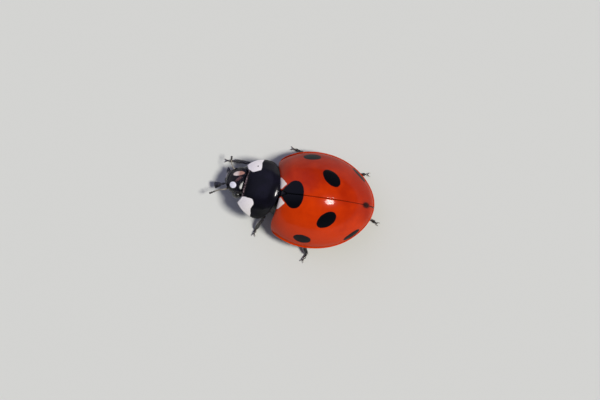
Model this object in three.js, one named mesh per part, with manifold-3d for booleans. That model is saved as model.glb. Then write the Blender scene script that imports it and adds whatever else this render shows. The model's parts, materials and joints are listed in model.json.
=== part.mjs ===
// Seven-spot ladybird, life size, standing on six feet with its wing cases closed.
// Millimetres, +Z up. The animal faces -Y, its left side is +X, and the feet stand on Z = 0.
// The body is one continuous form that thin cuts part into its plates and limbs.

import * as THREE from 'three';
import { mergeVertices } from 'three/addons/utils/BufferGeometryUtils.js';
import Module from 'manifold-3d';

const wasm = await Module();
wasm.setup();

// ---------------------------------------------------------------- driving dimensions, mm

const CUT = 0.04; // width of the cuts between neighbouring parts
const MERGE_DISTANCE = 1e-4;
const OUTLINE_STEPS = 6; // straight lengths in each curve of an outline
const LIMB = { sides: 8, steps: 6, roundness: 5 }; // facets around and along a limb, bluntness of its ends
const TALL = 6; // reach of the prisms and blocks that trim plates, beyond every part
const UNDER = -1; // where the blocks that trim parts begin, below the floor

// Facets around and from pole to pole of each round form.
const FACETS = {
  outerDome: [40, 24],
  innerDome: [26, 14],
  pronotum: [28, 14],
  prothorax: [16, 8],
  head: [18, 10],
  eye: [12, 8],
  mouth: [14, 8],
};
const SIDES = { left: 1, right: -1 };

// The two wing cases share one dome. Its rim is an ellipse, longer behind the centre than before it.
const ELYTRA = {
  halfWidth: 2.42,
  centreY: 1.6,
  frontReach: 2.78,
  rearReach: 3.14,
  rimZ: 0.97,
  height: 2.38,
  curvePower: 2.1,
  curveFullness: 0.58,
  tailTaper: 0.11, // narrowing towards the tail
  tailPower: 3.5,
  shell: 0.5,
  baseY: -0.02, // front margin beside the scutellum
  baseBow: 0.14, // how fast the front margin runs forward towards the shoulders
  baseHalfWidth: 1.2,
  shoulder: { controlX: 1.756, controlY: -0.408, endX: 2.02, endY: 0.05 },
};

// The scutellum's root runs forward by rootReach, and the wing cases' front margin trims it.
const SCUTELLUM = { halfWidth: 0.17, length: 0.36, rootReach: 1 };

// Thorax and abdomen fill the dome from inside and bulge below its rim.
const TRUNK = {
  bellyDrop: 0.45,
  bellyFullness: 0.7,
  frontY: -0.08,
  waistY: 2.2,
};

// The pronotum's frame stands at the middle of its rear margin, turned to the animal's right.
const PRONOTUM = {
  rear: new THREE.Vector3(-0.06, -0.05, 0),
  yaw: THREE.MathUtils.degToRad(7.7),
  halfWidth: 1.5,
  widestY: -0.97,
  rearLength: 0.97,
  frontLength: 1.235,
  cornerY: -1.94,
  notchX: 0.72,
  notchY: -1.79,
  browY: -1.9,
  frontY: -1.93,
  domeHalfWidth: 1.525,
  domeRear: 2.6,
  domeFront: 1.27,
  rimZ: 1.15,
  height: 1.35,
  slope: 0.33, // gain in crest height for each millimetre towards the rear
  plateTop: 0.42,
  plateEdge: 0.24,
  plateFront: 0.08,
};

const PROTHORAX = {
  halfWidth: 1.12,
  centreY: -0.98,
  frontLength: 0.66,
  rearLength: 0.7,
  rimZ: 1.16,
  rise: 1.6,
  bellyDrop: 0.54,
  curvePower: 3,
  curveFullness: 0.6,
};

// The head's frame stands below the joint with the pronotum, turned further to the right.
const HEAD = {
  joint: new THREE.Vector3(-0.4, -1.9, 0),
  yaw: THREE.MathUtils.degToRad(17),
  centre: new THREE.Vector3(0, -0.31, 1.12),
  halfWidth: 0.72,
  halfDepth: 0.47,
  halfLength: 0.7,
  faceFlatness: 0.12, // share of the depth taken off in front
  mouthTaper: 0.24, // share of the width taken off towards the mouth
  tilt: THREE.MathUtils.degToRad(-45),
};

const EYE = {
  centre: new THREE.Vector3(0.62, -0.12, 1.26),
  radii: new THREE.Vector3(0.19, 0.26, 0.25),
};

const MOUTH = {
  centre: new THREE.Vector3(0, -0.72, 0.72),
  radii: new THREE.Vector3(0.36, 0.24, 0.26),
};

// Antennae and palps run through points of the head's frame, from the root outwards.
const FEELER = { radius: 0.25, swell: 0.02, lap: 0.08 };
const ANTENNAE = [
  { side: 'left', points: [[0.5, -0.6, 1.04], [0.76, -0.96, 1.07], [1.1, -1.3, 1.0]] },
  { side: 'right', points: [[-0.46, -0.66, 1.06], [-0.66, -0.94, 1.08], [-0.94, -1.06, 1.02]] },
];
const PALPS = [
  { side: 'left', points: [[0.28, -0.6, 0.52], [0.46, -0.92, 0.48], [0.6, -1.24, 0.44]] },
  { side: 'right', points: [[-0.28, -0.6, 0.52], [-0.32, -0.8, 0.46], [-0.27, -0.94, 0.4]] },
];

// Radii of the leg segments at the root, the middle and the end.
const FEMUR = { rootRadius: 0.26, midRadius: 0.29, endRadius: 0.25 };
const TIBIA = { rootRadius: 0.25, midRadius: 0.26, endRadius: 0.25 };
const TARSUS = { rootRadius: 0.25, midRadius: 0.27, endRadius: 0.25 };
const SOLE_DROP = 0.05; // how far the round of a foot is cut flat
const ANKLE_Z = 0.3;

// Each leg's coxa, knee, ankle and tip of the foot. Ankle and tip stand on the floor's level.
const LEGS = [
  {
    name: 'left_front',
    coxa: [0.38, -0.98, 0.62],
    knee: [1.25, -0.7, 0.7],
    ankle: [1.72, -1.0],
    tip: [2.06, -1.08],
  },
  {
    name: 'left_middle',
    coxa: [0.78, 0.86, 0.54],
    knee: [1.86, 1.26, 0.62],
    ankle: [2.67, 1.68],
    tip: [3.06, 1.49],
  },
  {
    name: 'left_hind',
    coxa: [0.62, 2.02, 0.54],
    knee: [0.9, 3.4, 0.6],
    ankle: [0.52, 4.62],
    tip: [0.72, 5.06],
  },
  {
    name: 'right_front',
    coxa: [-0.58, -1.06, 0.62],
    knee: [-1.46, -1.68, 0.7],
    ankle: [-1.52, -2.44],
    tip: [-1.48, -2.98],
  },
  {
    name: 'right_middle',
    coxa: [-0.78, 0.86, 0.54],
    knee: [-1.88, 1.04, 0.62],
    ankle: [-2.42, 0.76],
    tip: [-2.52, 0.26],
  },
  {
    name: 'right_hind',
    coxa: [-0.62, 2.02, 0.54],
    knee: [-1.6, 2.86, 0.62],
    ankle: [-1.65, 3.8],
    tip: [-1.7, 4.3],
  },
];

// ---------------------------------------------------------------- finishes

const FINISHES = {
  red: { color: 0xc2380f, roughness: 0.22, metalness: 0 },
  black: { color: 0x0b0b10, roughness: 0.24, metalness: 0 },
  dull: { color: 0x131011, roughness: 0.5, metalness: 0 },
  eye: { color: 0x050506, roughness: 0.12, metalness: 0 },
  brown: { color: 0x54361a, roughness: 0.4, metalness: 0 },
};

// ---------------------------------------------------------------- helpers

/** A closed solid of a three.js geometry, for cutting and joining. */
function solidOf(geometry, matrix = new THREE.Matrix4()) {
  const bare = geometry.clone().applyMatrix4(matrix);
  bare.deleteAttribute('normal');
  bare.deleteAttribute('uv');
  const merged = mergeVertices(bare, MERGE_DISTANCE);
  const corners = merged.index.array;
  const kept = [];
  for (let i = 0; i < corners.length; i += 3) {
    const [a, b, c] = corners.slice(i, i + 3);
    if (a !== b && b !== c && c !== a) {
      kept.push(a, b, c);
    }
  }
  const mesh = new wasm.Mesh({
    numProp: 3,
    vertProperties: merged.attributes.position.array,
    triVerts: Uint32Array.from(kept),
  });
  return new wasm.Manifold(mesh);
}

/** The three.js geometry of a solid. */
function geometryOf(solid) {
  const mesh = solid.getMesh();
  const geometry = new THREE.BufferGeometry();
  geometry.setAttribute('position', new THREE.BufferAttribute(mesh.vertProperties, 3));
  geometry.setIndex(new THREE.BufferAttribute(mesh.triVerts, 1));
  geometry.computeVertexNormals();
  return geometry;
}

/** A named part of one finish. */
function part(name, solid, finish) {
  const mesh = new THREE.Mesh(geometryOf(solid), new THREE.MeshStandardMaterial(FINISHES[finish]));
  mesh.name = name;
  return mesh;
}

/** A sphere of unit radius whose every point is moved to the place that place(point) gives. */
function shapedSphere([around, poleToPole], place) {
  const geometry = new THREE.SphereGeometry(1, around, poleToPole).rotateX(Math.PI / 2);
  const position = geometry.attributes.position;
  const point = new THREE.Vector3();
  for (let i = 0; i < position.count; i += 1) {
    point.fromBufferAttribute(position, i);
    position.setXYZ(i, ...place(point));
  }
  return geometry;
}

/** How far out a point of the unit sphere lies, seen from above: 0 on the axis and 1 at the rim. */
function rimShare(point) {
  return Math.min(1, Math.hypot(point.x, point.y));
}

/** Height of the domes as a share of their crest, from 1 at the centre to 0 at the rim. */
function domeCurve(share) {
  return (1 - share ** ELYTRA.curvePower) ** ELYTRA.curveFullness;
}

/** An upright prism over an outline, tall enough to trim any plate. */
function prism(outline, matrix = new THREE.Matrix4()) {
  const corners = outline.getPoints(OUTLINE_STEPS).filter(
    (corner, i, all) => corner.distanceTo(all[(i + 1) % all.length]) > MERGE_DISTANCE,
  );
  const geometry = new THREE.ExtrudeGeometry(new THREE.Shape(corners), { depth: TALL, bevelEnabled: false });
  geometry.translate(0, 0, UNDER);
  return solidOf(geometry, matrix);
}

/** A box between two corners. */
function block(low, high) {
  const size = new THREE.Vector3().subVectors(high, low);
  const middle = new THREE.Vector3().addVectors(low, high).multiplyScalar(0.5);
  return solidOf(new THREE.BoxGeometry(size.x, size.y, size.z).translate(middle.x, middle.y, middle.z));
}

/** An ellipsoid. */
function ellipsoid(centre, radii, facets) {
  return shapedSphere(facets, (point) => point.multiply(radii).add(centre));
}

/** A round-ended limb between two joints, each end reaching past its joint by lap. */
function limb(start, end, radii, lap) {
  const { sides, steps, roundness } = LIMB;
  const axis = new THREE.Vector3().subVectors(end, start);
  const length = axis.length() + 2 * lap;
  const profile = [];
  for (let i = 0; i <= steps; i += 1) {
    const t = i / steps;
    const ends = (1 - t) ** 2 * radii.rootRadius + t ** 2 * radii.endRadius;
    const taper = ends + 2 * t * (1 - t) * radii.midRadius;
    const roundEnd = Math.sqrt(1 - Math.abs(2 * t - 1) ** roundness);
    profile.push(new THREE.Vector2(taper * roundEnd, t * length - lap));
  }
  const turn = new THREE.Quaternion().setFromUnitVectors(new THREE.Vector3(0, 1, 0), axis.normalize());
  const matrix = new THREE.Matrix4().compose(start, turn, new THREE.Vector3(1, 1, 1));
  return solidOf(new THREE.LatheGeometry(profile, sides), matrix);
}

/** The radii of a limb, grown by extra. */
function grownRadii(radii, extra) {
  return {
    rootRadius: radii.rootRadius + extra,
    midRadius: radii.midRadius + extra,
    endRadius: radii.endRadius + extra,
  };
}

/** Joins several solids into one. */
function joined(solids) {
  return solids.reduce((whole, solid) => whole.add(solid));
}

/** A frame that stands at origin, turned by yaw towards the animal's right. */
function turnedFrame(origin, yaw) {
  return new THREE.Matrix4().makeRotationZ(-yaw).setPosition(origin);
}

const FOREBODY_FRAME = turnedFrame(PRONOTUM.rear, PRONOTUM.yaw);
const HEAD_FRAME = turnedFrame(HEAD.joint, HEAD.yaw);

// ---------------------------------------------------------------- wing cases and scutellum

/** The dome over the body, drawn in from its outer face by inset, with underside(share) below its rim. */
function bodyDome(inset, facets, underside) {
  return shapedSphere(facets, (point) => {
    const share = rimShare(point);
    const reach = point.y > 0 ? ELYTRA.rearReach : ELYTRA.frontReach;
    const taper = 1 - ELYTRA.tailTaper * Math.max(0, point.y) ** ELYTRA.tailPower;
    const rise = point.z > 0 ? (ELYTRA.height - inset) * domeCurve(share) : -underside(share);
    return [
      point.x * (ELYTRA.halfWidth - inset) * taper,
      point.y * (reach - inset) + ELYTRA.centreY,
      ELYTRA.rimZ + rise,
    ];
  });
}

/** Front margin of the wing cases and everything behind it, seen from above. */
function elytraOutline(forward) {
  const { baseHalfWidth, baseBow, baseY, shoulder } = ELYTRA;
  const cornerY = baseY - baseBow * baseHalfWidth ** 2 - forward;
  const crownY = baseY + baseBow * baseHalfWidth ** 2 - forward;
  const controlY = shoulder.controlY - forward;
  const endY = shoulder.endY - forward;
  const outline = new THREE.Shape();
  outline.moveTo(-baseHalfWidth, cornerY);
  outline.quadraticCurveTo(0, crownY, baseHalfWidth, cornerY);
  outline.quadraticCurveTo(shoulder.controlX, controlY, shoulder.endX, endY);
  outline.lineTo(TALL, endY);
  outline.lineTo(TALL, TALL);
  outline.lineTo(-TALL, TALL);
  outline.lineTo(-TALL, endY);
  outline.lineTo(-shoulder.endX, endY);
  outline.quadraticCurveTo(-shoulder.controlX, controlY, -baseHalfWidth, cornerY);
  return outline;
}

/** The small triangle between the roots of the wing cases, widened by grow. */
function scutellumOutline(grow) {
  const outline = new THREE.Shape();
  outline.moveTo(-SCUTELLUM.halfWidth - grow, ELYTRA.baseY - SCUTELLUM.rootReach);
  outline.lineTo(SCUTELLUM.halfWidth + grow, ELYTRA.baseY - SCUTELLUM.rootReach);
  outline.lineTo(SCUTELLUM.halfWidth + grow, ELYTRA.baseY);
  outline.lineTo(0, ELYTRA.baseY + SCUTELLUM.length + 2 * grow);
  outline.lineTo(-SCUTELLUM.halfWidth - grow, ELYTRA.baseY);
  return outline;
}

/** Both wing cases as one shell, before the suture is cut. */
function elytraShell() {
  const outer = solidOf(bodyDome(0, FACETS.outerDome, () => 0));
  const inner = solidOf(bodyDome(ELYTRA.shell, FACETS.innerDome, (share) => 1 - share));
  return outer.subtract(inner).intersect(prism(elytraOutline(0)));
}

function buildWingCases() {
  const shell = elytraShell();
  const open = shell.subtract(prism(scutellumOutline(CUT)));
  const halfCut = CUT / 2;
  const leftHalf = block(new THREE.Vector3(halfCut, -TALL, UNDER), new THREE.Vector3(TALL, TALL, TALL));
  const rightHalf = block(new THREE.Vector3(-TALL, -TALL, UNDER), new THREE.Vector3(-halfCut, TALL, TALL));
  return [
    part('elytron_left', open.intersect(leftHalf), 'red'),
    part('elytron_right', open.intersect(rightHalf), 'red'),
    part('scutellum', shell.intersect(prism(scutellumOutline(0))), 'black'),
  ];
}

// ---------------------------------------------------------------- thorax and abdomen

/** The body inside the wing cases, down to the belly. */
function trunkSolid() {
  const belly = (share) => TRUNK.bellyDrop * (1 - share ** 2) ** TRUNK.bellyFullness;
  return solidOf(bodyDome(ELYTRA.shell + CUT, FACETS.innerDome, belly));
}

function buildTrunk(legRoom) {
  const trunk = trunkSolid().subtract(legRoom);
  const thoraxSpan = block(
    new THREE.Vector3(-TALL, TRUNK.frontY, UNDER),
    new THREE.Vector3(TALL, TRUNK.waistY - CUT / 2, TALL),
  );
  const abdomenSpan = block(
    new THREE.Vector3(-TALL, TRUNK.waistY + CUT / 2, UNDER),
    new THREE.Vector3(TALL, TALL, TALL),
  );
  return [
    part('thorax', trunk.intersect(thoraxSpan), 'dull'),
    part('abdomen', trunk.intersect(abdomenSpan), 'dull'),
  ];
}

// ---------------------------------------------------------------- pronotum and prothorax

/** The pronotum's dome, drawn in at its crest, side and front edges, with underside(share) below its rim. */
function pronotumDome(crestInset, sideInset, frontInset, underside) {
  const geometry = shapedSphere(FACETS.pronotum, (point) => {
    const reach = point.y > 0 ? PRONOTUM.domeRear - sideInset : PRONOTUM.domeFront - frontInset;
    const share = rimShare(point);
    const y = point.y * reach;
    const crest = PRONOTUM.height - crestInset + PRONOTUM.slope * y;
    return [
      point.x * (PRONOTUM.domeHalfWidth - sideInset),
      PRONOTUM.widestY + y,
      PRONOTUM.rimZ + (point.z > 0 ? crest * domeCurve(share) : -underside(share)),
    ];
  });
  return solidOf(geometry, FOREBODY_FRAME);
}

/** The space inside the pronotum's plate, drawn in further by extra. */
function pronotumHollow(extra) {
  const { plateTop, plateEdge, plateFront } = PRONOTUM;
  return pronotumDome(plateTop + extra, plateEdge + extra, plateFront + extra, (share) => 1 - share);
}

/** The pronotum seen from above, moved forward: round behind, hollowed in front between two corners. */
function pronotumOutline(forward) {
  const p = PRONOTUM;
  const cornerAngle = Math.asin((p.cornerY - p.widestY) / p.frontLength);
  const cornerX = p.halfWidth * Math.cos(cornerAngle);
  const middleY = p.widestY - forward;
  const outline = new THREE.Shape();
  outline.absellipse(0, middleY, p.halfWidth, p.rearLength, 0, Math.PI, false, 0);
  outline.absellipse(0, middleY, p.halfWidth, p.frontLength, -Math.PI, -Math.PI - cornerAngle, false, 0);
  outline.splineThru([
    new THREE.Vector2(-p.notchX, p.notchY - forward),
    new THREE.Vector2(-p.notchX / 2, p.browY - forward),
    new THREE.Vector2(0, p.frontY - forward),
    new THREE.Vector2(p.notchX / 2, p.browY - forward),
    new THREE.Vector2(p.notchX, p.notchY - forward),
    new THREE.Vector2(cornerX, p.cornerY - forward),
  ]);
  outline.absellipse(0, middleY, p.halfWidth, p.frontLength, cornerAngle, 0, false, 0);
  return outline;
}

/** The pronotum's plate, grown by extra above and towards the head. */
function pronotumPlate(extra) {
  const dome = pronotumDome(-extra, -extra, -extra, () => 0);
  const trimmed = dome.intersect(prism(pronotumOutline(extra), FOREBODY_FRAME));
  return trimmed.subtract(pronotumHollow(extra)).subtract(prism(elytraOutline(CUT)));
}

/** The prothorax under the pronotum. */
function prothoraxSolid() {
  const p = PROTHORAX;
  const geometry = shapedSphere(FACETS.prothorax, (point) => {
    const reach = point.y > 0 ? p.rearLength : p.frontLength;
    const height = point.z > 0 ? p.rise : -p.bellyDrop;
    const curve = (1 - rimShare(point) ** p.curvePower) ** p.curveFullness;
    return [point.x * p.halfWidth, p.centreY + point.y * reach, p.rimZ + height * curve];
  });
  const below = block(
    new THREE.Vector3(-TALL, -TALL, UNDER),
    new THREE.Vector3(TALL, TALL, PRONOTUM.rimZ - CUT),
  );
  const room = pronotumHollow(CUT).add(below);
  return solidOf(geometry, FOREBODY_FRAME).intersect(room).subtract(prism(elytraOutline(CUT)));
}

function buildForebody(legRoom) {
  const neckRoom = capsuleSolid(CUT).add(eyeSolid('left', CUT)).add(eyeSolid('right', CUT));
  return [
    part('pronotum', pronotumPlate(0), 'black'),
    part('prothorax', prothoraxSolid().subtract(legRoom).subtract(neckRoom), 'dull'),
  ];
}

// ---------------------------------------------------------------- head

/** The head capsule grown by extra: flat-faced, narrower at the mouth, looking forward and up. */
function capsuleSolid(extra) {
  const geometry = shapedSphere(FACETS.head, (point) => {
    const width = 1 - HEAD.mouthTaper * Math.max(0, -point.z);
    const depth = 1 - HEAD.faceFlatness * Math.max(0, -point.y);
    return [
      point.x * (HEAD.halfWidth * width + extra),
      point.y * (HEAD.halfDepth * depth + extra),
      point.z * (HEAD.halfLength + extra),
    ];
  });
  const tilt = new THREE.Matrix4().makeRotationX(HEAD.tilt).setPosition(HEAD.centre);
  return solidOf(geometry, HEAD_FRAME.clone().multiply(tilt));
}

/** An eye grown by extra. */
function eyeSolid(side, extra) {
  const centre = EYE.centre.clone();
  centre.x *= SIDES[side];
  return solidOf(ellipsoid(centre, EYE.radii.clone().addScalar(extra), FACETS.eye), HEAD_FRAME);
}

/** Labrum and jaws, one round lobe below the face, grown by extra. */
function mouthSolid(extra) {
  return solidOf(ellipsoid(MOUTH.centre, MOUTH.radii.clone().addScalar(extra), FACETS.mouth), HEAD_FRAME);
}

/** A jointed feeler through points of the head's frame, grown by extra. */
function feelerSolid(points, extra) {
  const { radius, swell, lap } = FEELER;
  const radii = grownRadii({ rootRadius: radius, midRadius: radius + swell, endRadius: radius }, extra);
  const joints = points.map((point) => new THREE.Vector3(...point).applyMatrix4(HEAD_FRAME));
  return joined(joints.slice(1).map((joint, i) => limb(joints[i], joint, radii, lap)));
}

function buildHead() {
  const plateRoom = pronotumPlate(CUT);
  const eyeRoom = eyeSolid('left', CUT).add(eyeSolid('right', CUT));
  const capsuleRoom = capsuleSolid(CUT).add(eyeRoom);
  const antennaRoom = joined(ANTENNAE.map(({ points }) => feelerSolid(points, CUT)));
  const parts = [
    part('head', capsuleSolid(0).subtract(eyeRoom).subtract(plateRoom), 'black'),
    part('mouthparts', mouthSolid(0).subtract(capsuleRoom), 'black'),
  ];
  for (const side of Object.keys(SIDES)) {
    parts.push(part(`eye_${side}`, eyeSolid(side, 0).subtract(plateRoom), 'eye'));
  }
  for (const { side, points } of ANTENNAE) {
    const antenna = feelerSolid(points, 0).subtract(capsuleRoom);
    parts.push(part(`antenna_${side}`, antenna, 'brown'));
  }
  for (const { side, points } of PALPS) {
    const palp = feelerSolid(points, 0).subtract(capsuleRoom).subtract(mouthSolid(CUT)).subtract(antennaRoom);
    parts.push(part(`palp_${side}`, palp, 'black'));
  }
  return parts;
}

// ---------------------------------------------------------------- legs

/** The joints of a leg as points: coxa, knee, end of the tibia, heel and tip of the foot. */
function legJoints(leg) {
  const footZ = TARSUS.midRadius - SOLE_DROP;
  return {
    coxa: new THREE.Vector3(...leg.coxa),
    knee: new THREE.Vector3(...leg.knee),
    ankle: new THREE.Vector3(...leg.ankle, ANKLE_Z),
    heel: new THREE.Vector3(...leg.ankle, footZ),
    tip: new THREE.Vector3(...leg.tip, footZ),
  };
}

function femurSolid(leg, extra) {
  const { coxa, knee } = legJoints(leg);
  return limb(coxa, knee, grownRadii(FEMUR, extra), extra);
}

function tibiaSolid(leg, extra) {
  const { knee, ankle } = legJoints(leg);
  return limb(knee, ankle, grownRadii(TIBIA, extra), extra);
}

/** A foot with its round cut flat by the floor. */
function tarsusSolid(leg) {
  const { heel, tip } = legJoints(leg);
  const floor = block(new THREE.Vector3(-TALL, -TALL, UNDER), new THREE.Vector3(TALL, TALL, 0));
  return limb(heel, tip, TARSUS, TARSUS.endRadius / 2).subtract(floor);
}

function buildLeg(leg) {
  const tibia = tibiaSolid(leg, 0).subtract(femurSolid(leg, CUT));
  const tarsus = tarsusSolid(leg).subtract(tibiaSolid(leg, CUT));
  return [
    part(`femur_${leg.name}`, femurSolid(leg, 0), 'black'),
    part(`tibia_${leg.name}`, tibia, 'black'),
    part(`tarsus_${leg.name}`, tarsus, 'brown'),
  ];
}

// ---------------------------------------------------------------- the whole animal

const legRoom = joined(LEGS.flatMap((leg) => [femurSolid(leg, CUT), tibiaSolid(leg, CUT)]));

const ladybird = new THREE.Group();
ladybird.add(...buildWingCases());
ladybird.add(...buildTrunk(legRoom));
ladybird.add(...buildForebody(legRoom));
ladybird.add(...buildHead());
for (const leg of LEGS) {
  ladybird.add(...buildLeg(leg));
}

// The origin is the middle of the footprint, on the floor.
const box = new THREE.Box3().setFromObject(ladybird, true);
const middle = box.getCenter(new THREE.Vector3());
ladybird.position.set(-middle.x, -middle.y, -box.min.z);

export default ladybird;
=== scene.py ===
"""The looks of a life-size seven-spot ladybird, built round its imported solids.

Sizes are in millimetres in the animal's own frame: the origin lies on the floor under the middle of
the wing cases' front margin, the head points to -Y, and the animal's left side is +X. Meshes are
turned into metres in the shared frame as they are made.
"""

import json
import logging
import math
from dataclasses import dataclass, field
from enum import Enum
from typing import Callable, Sequence

import bmesh
import bpy
import numpy as np
from mathutils import Matrix, Vector

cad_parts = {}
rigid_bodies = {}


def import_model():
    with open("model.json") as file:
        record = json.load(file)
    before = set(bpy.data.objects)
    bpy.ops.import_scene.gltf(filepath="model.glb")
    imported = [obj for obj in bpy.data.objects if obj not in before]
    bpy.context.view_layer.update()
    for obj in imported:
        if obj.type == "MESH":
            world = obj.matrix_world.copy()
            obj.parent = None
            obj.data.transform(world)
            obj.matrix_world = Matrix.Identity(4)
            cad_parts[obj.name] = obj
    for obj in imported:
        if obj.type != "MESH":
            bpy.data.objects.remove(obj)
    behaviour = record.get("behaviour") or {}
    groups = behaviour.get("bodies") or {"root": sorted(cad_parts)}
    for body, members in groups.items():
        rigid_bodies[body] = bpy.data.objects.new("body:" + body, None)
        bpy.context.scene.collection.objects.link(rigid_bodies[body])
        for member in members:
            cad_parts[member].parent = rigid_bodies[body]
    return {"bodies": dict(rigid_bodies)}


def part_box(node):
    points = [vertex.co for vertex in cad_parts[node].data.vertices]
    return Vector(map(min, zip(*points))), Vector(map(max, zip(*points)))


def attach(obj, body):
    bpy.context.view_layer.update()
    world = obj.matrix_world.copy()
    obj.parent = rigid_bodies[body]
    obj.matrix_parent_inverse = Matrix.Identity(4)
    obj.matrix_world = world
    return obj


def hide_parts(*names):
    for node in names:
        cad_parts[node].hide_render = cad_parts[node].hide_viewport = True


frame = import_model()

BODY = next(iter(frame["bodies"]))
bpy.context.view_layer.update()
MM = 0.001
SEED = 7
TAIL_Y = 4.74  # where the wing cases end
UP = (0.0, 0.0, 1.0)
FAR = 9.0  # further off than any edge, in millimetres
TINY = 1e-12  # keeps a division away from zero
SPLINE_STEPS = 48  # places worked out on each span of a spline
END_FULLNESS = 2.2  # how squarely the blunt end of a rod turns in

Array = np.ndarray
Form = tuple[Array, list]  # a closed form's vertices and faces
log = logging.getLogger("ladybird")


def frame_shift() -> Array:
    """Find how far the animal's own frame lies from the shared frame.

    Returns:
        The shift, in millimetres, to add to a place in the animal's frame.
    """
    left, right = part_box("elytron_left"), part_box("elytron_right")
    middle_x = (left[1].x + right[0].x) / 2
    return np.array([middle_x / MM, left[1].y / MM - TAIL_Y, 0.0])


SHIFT = frame_shift()


class Finish(Enum):
    """The record's material slots."""

    WING_CASE = "wing_case"
    SHIELD = "shield"
    UNDERSIDE = "underside"
    EYE = "eye"
    LEG = "leg"
    FOOT = "foot"
    FEELER = "feeler"


class Side(Enum):
    """The animal's two sides, with the sign of X on each."""

    LEFT = 1
    RIGHT = -1

    @property
    def label(self) -> str:
        """The side's name in lower case."""
        return self.name.lower()


# ---------------------------------------------------------------- arithmetic


def smooth_step(low: float, high: float, value: Array) -> Array:
    """Rise smoothly from 0 to 1.

    Args:
        low: Where the rise begins.
        high: Where it ends.
        value: The numbers to place.

    Returns:
        A share from 0 to 1 for each number.
    """
    share = np.clip((value - low) / (high - low), 0.0, 1.0)
    return share * share * (3 - 2 * share)


def soft_max(a: Array, b: Array, width: float) -> Array:
    """Join two heights with a fillet in the corner between them.

    Args:
        a: One height.
        b: The other height.
        width: How wide the fillet is.

    Returns:
        The higher of the two, rounded where they meet.
    """
    gap = a - b
    return 0.5 * (a + b + np.sqrt(gap * gap + width * width))


def bump(value: Array, centre: float, width: float) -> Array:
    """Give a bell curve of height 1.

    Args:
        value: The numbers to place.
        centre: Where the bell stands.
        width: Its half width.

    Returns:
        The bell's height at each number.
    """
    return np.exp(-(((value - centre) / width) ** 2))


def unit(vector: Array) -> Array:
    """Scale vectors to length 1.

    Args:
        vector: One vector, or one in each row.

    Returns:
        The vectors at unit length.
    """
    vector = np.asarray(vector, float)
    length = np.linalg.norm(vector, axis=-1, keepdims=True)
    return vector / np.maximum(length, TINY)


def walked_along(line: Array) -> Array:
    """Give the way walked along a line to each of its places."""
    return np.concatenate([[0.0], np.cumsum(np.linalg.norm(np.diff(line, axis=0), axis=1))])


def spaced(line: Array, count: int) -> Array:
    """Space places evenly along an open line, from one end to the other.

    Args:
        line: The line's places, one in each row, of any dimension.
        count: How many places to return.

    Returns:
        The new places.
    """
    walked = walked_along(line)
    wanted = np.linspace(0, walked[-1], count)
    return np.stack([np.interp(wanted, walked, values) for values in line.T], axis=1)


def spline(points: Sequence, count: int) -> Array:
    """Run an evenly spaced smooth line through points.

    Args:
        points: The points, in order, of any dimension.
        count: How many places to return.

    Returns:
        The places, one in each row, evenly spaced along the line.
    """
    p = np.asarray(points, float)
    ends = np.vstack([2 * p[0] - p[1], p, 2 * p[-1] - p[-2]])
    dense = []
    for i in range(1, len(ends) - 2):
        a, b, c, d = ends[i - 1 : i + 3]
        t = np.linspace(0, 1, SPLINE_STEPS, endpoint=False)[:, None]
        cubic = (-a + 3 * b - 3 * c + d) * t**3 + (2 * a - 5 * b + 4 * c - d) * t**2
        dense.append(0.5 * (2 * b + (c - a) * t + cubic))
    return spaced(np.vstack(dense + [p[-1:]]), count)


@dataclass(frozen=True)
class Placing:
    """A turned frame: yaw towards the animal's right, then a shift to its origin."""

    origin: tuple[float, float, float]
    yaw: float

    def place(self, points: Array) -> Array:
        """Carry points of this frame into the animal's frame.

        Args:
            points: The points, one in each row.

        Returns:
            The same points in the animal's frame.
        """
        points = np.asarray(points, float)
        c, s = math.cos(self.yaw), math.sin(self.yaw)
        x = c * points[..., 0] + s * points[..., 1]
        y = -s * points[..., 0] + c * points[..., 1]
        return np.stack([x, y, points[..., 2]], axis=-1) + np.asarray(self.origin)


# ---------------------------------------------------------------- meshes


def linked(name: str, data: bpy.types.ID) -> bpy.types.Object:
    """Make an object and link it to the scene.

    Args:
        name: Its name.
        data: Its mesh, light or camera.

    Returns:
        The object.
    """
    made = bpy.data.objects.new(name, data)
    bpy.context.scene.collection.objects.link(made)
    return made


def face_outwards(mesh: bpy.types.Mesh) -> None:
    """Turn a mesh's faces outwards.

    Args:
        mesh: The mesh, of closed forms.
    """
    build = bmesh.new()
    build.from_mesh(mesh)
    bmesh.ops.recalc_face_normals(build, faces=build.faces)
    build.to_mesh(mesh)
    build.free()


@dataclass
class Shape:
    """A mesh under construction: vertices in the animal's frame, and faces."""

    points: list = field(default_factory=list)
    faces: list = field(default_factory=list)
    finishes: list = field(default_factory=list)
    count: int = 0

    def add(self, points: Array, faces: list, finish: int = 0) -> None:
        """Add a closed form.

        Args:
            points: Its vertices, one in each row.
            faces: Its faces as tuples of vertex numbers.
            finish: Which of the piece's materials it takes.
        """
        self.points.append(np.asarray(points, float))
        self.faces += [tuple(v + self.count for v in face) for face in faces]
        self.finishes += [finish] * len(faces)
        self.count += len(points)

    def add_all(self, forms: Sequence[Form], finish: int = 0) -> None:
        """Add several closed forms.

        Args:
            forms: The vertices and faces of each.
            finish: Which of the piece's materials they take.
        """
        for points, faces in forms:
            self.add(points, faces, finish)

    def piece(self, name: str, materials: Sequence[bpy.types.Material]) -> bpy.types.Object:
        """Make a Blender object of the mesh, smooth and facing outwards.

        Args:
            name: The piece's name.
            materials: Its materials, in the order that finish numbers them.

        Returns:
            The new object, with its place in its mesh.
        """
        mesh = bpy.data.meshes.new(name)
        points = (np.vstack(self.points) + SHIFT) * MM
        mesh.from_pydata(points.tolist(), [], self.faces)
        mesh.polygons.foreach_set("material_index", self.finishes)
        for material in materials:
            mesh.materials.append(material)
        face_outwards(mesh)
        mesh.shade_smooth()
        return linked(name, mesh)


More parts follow.
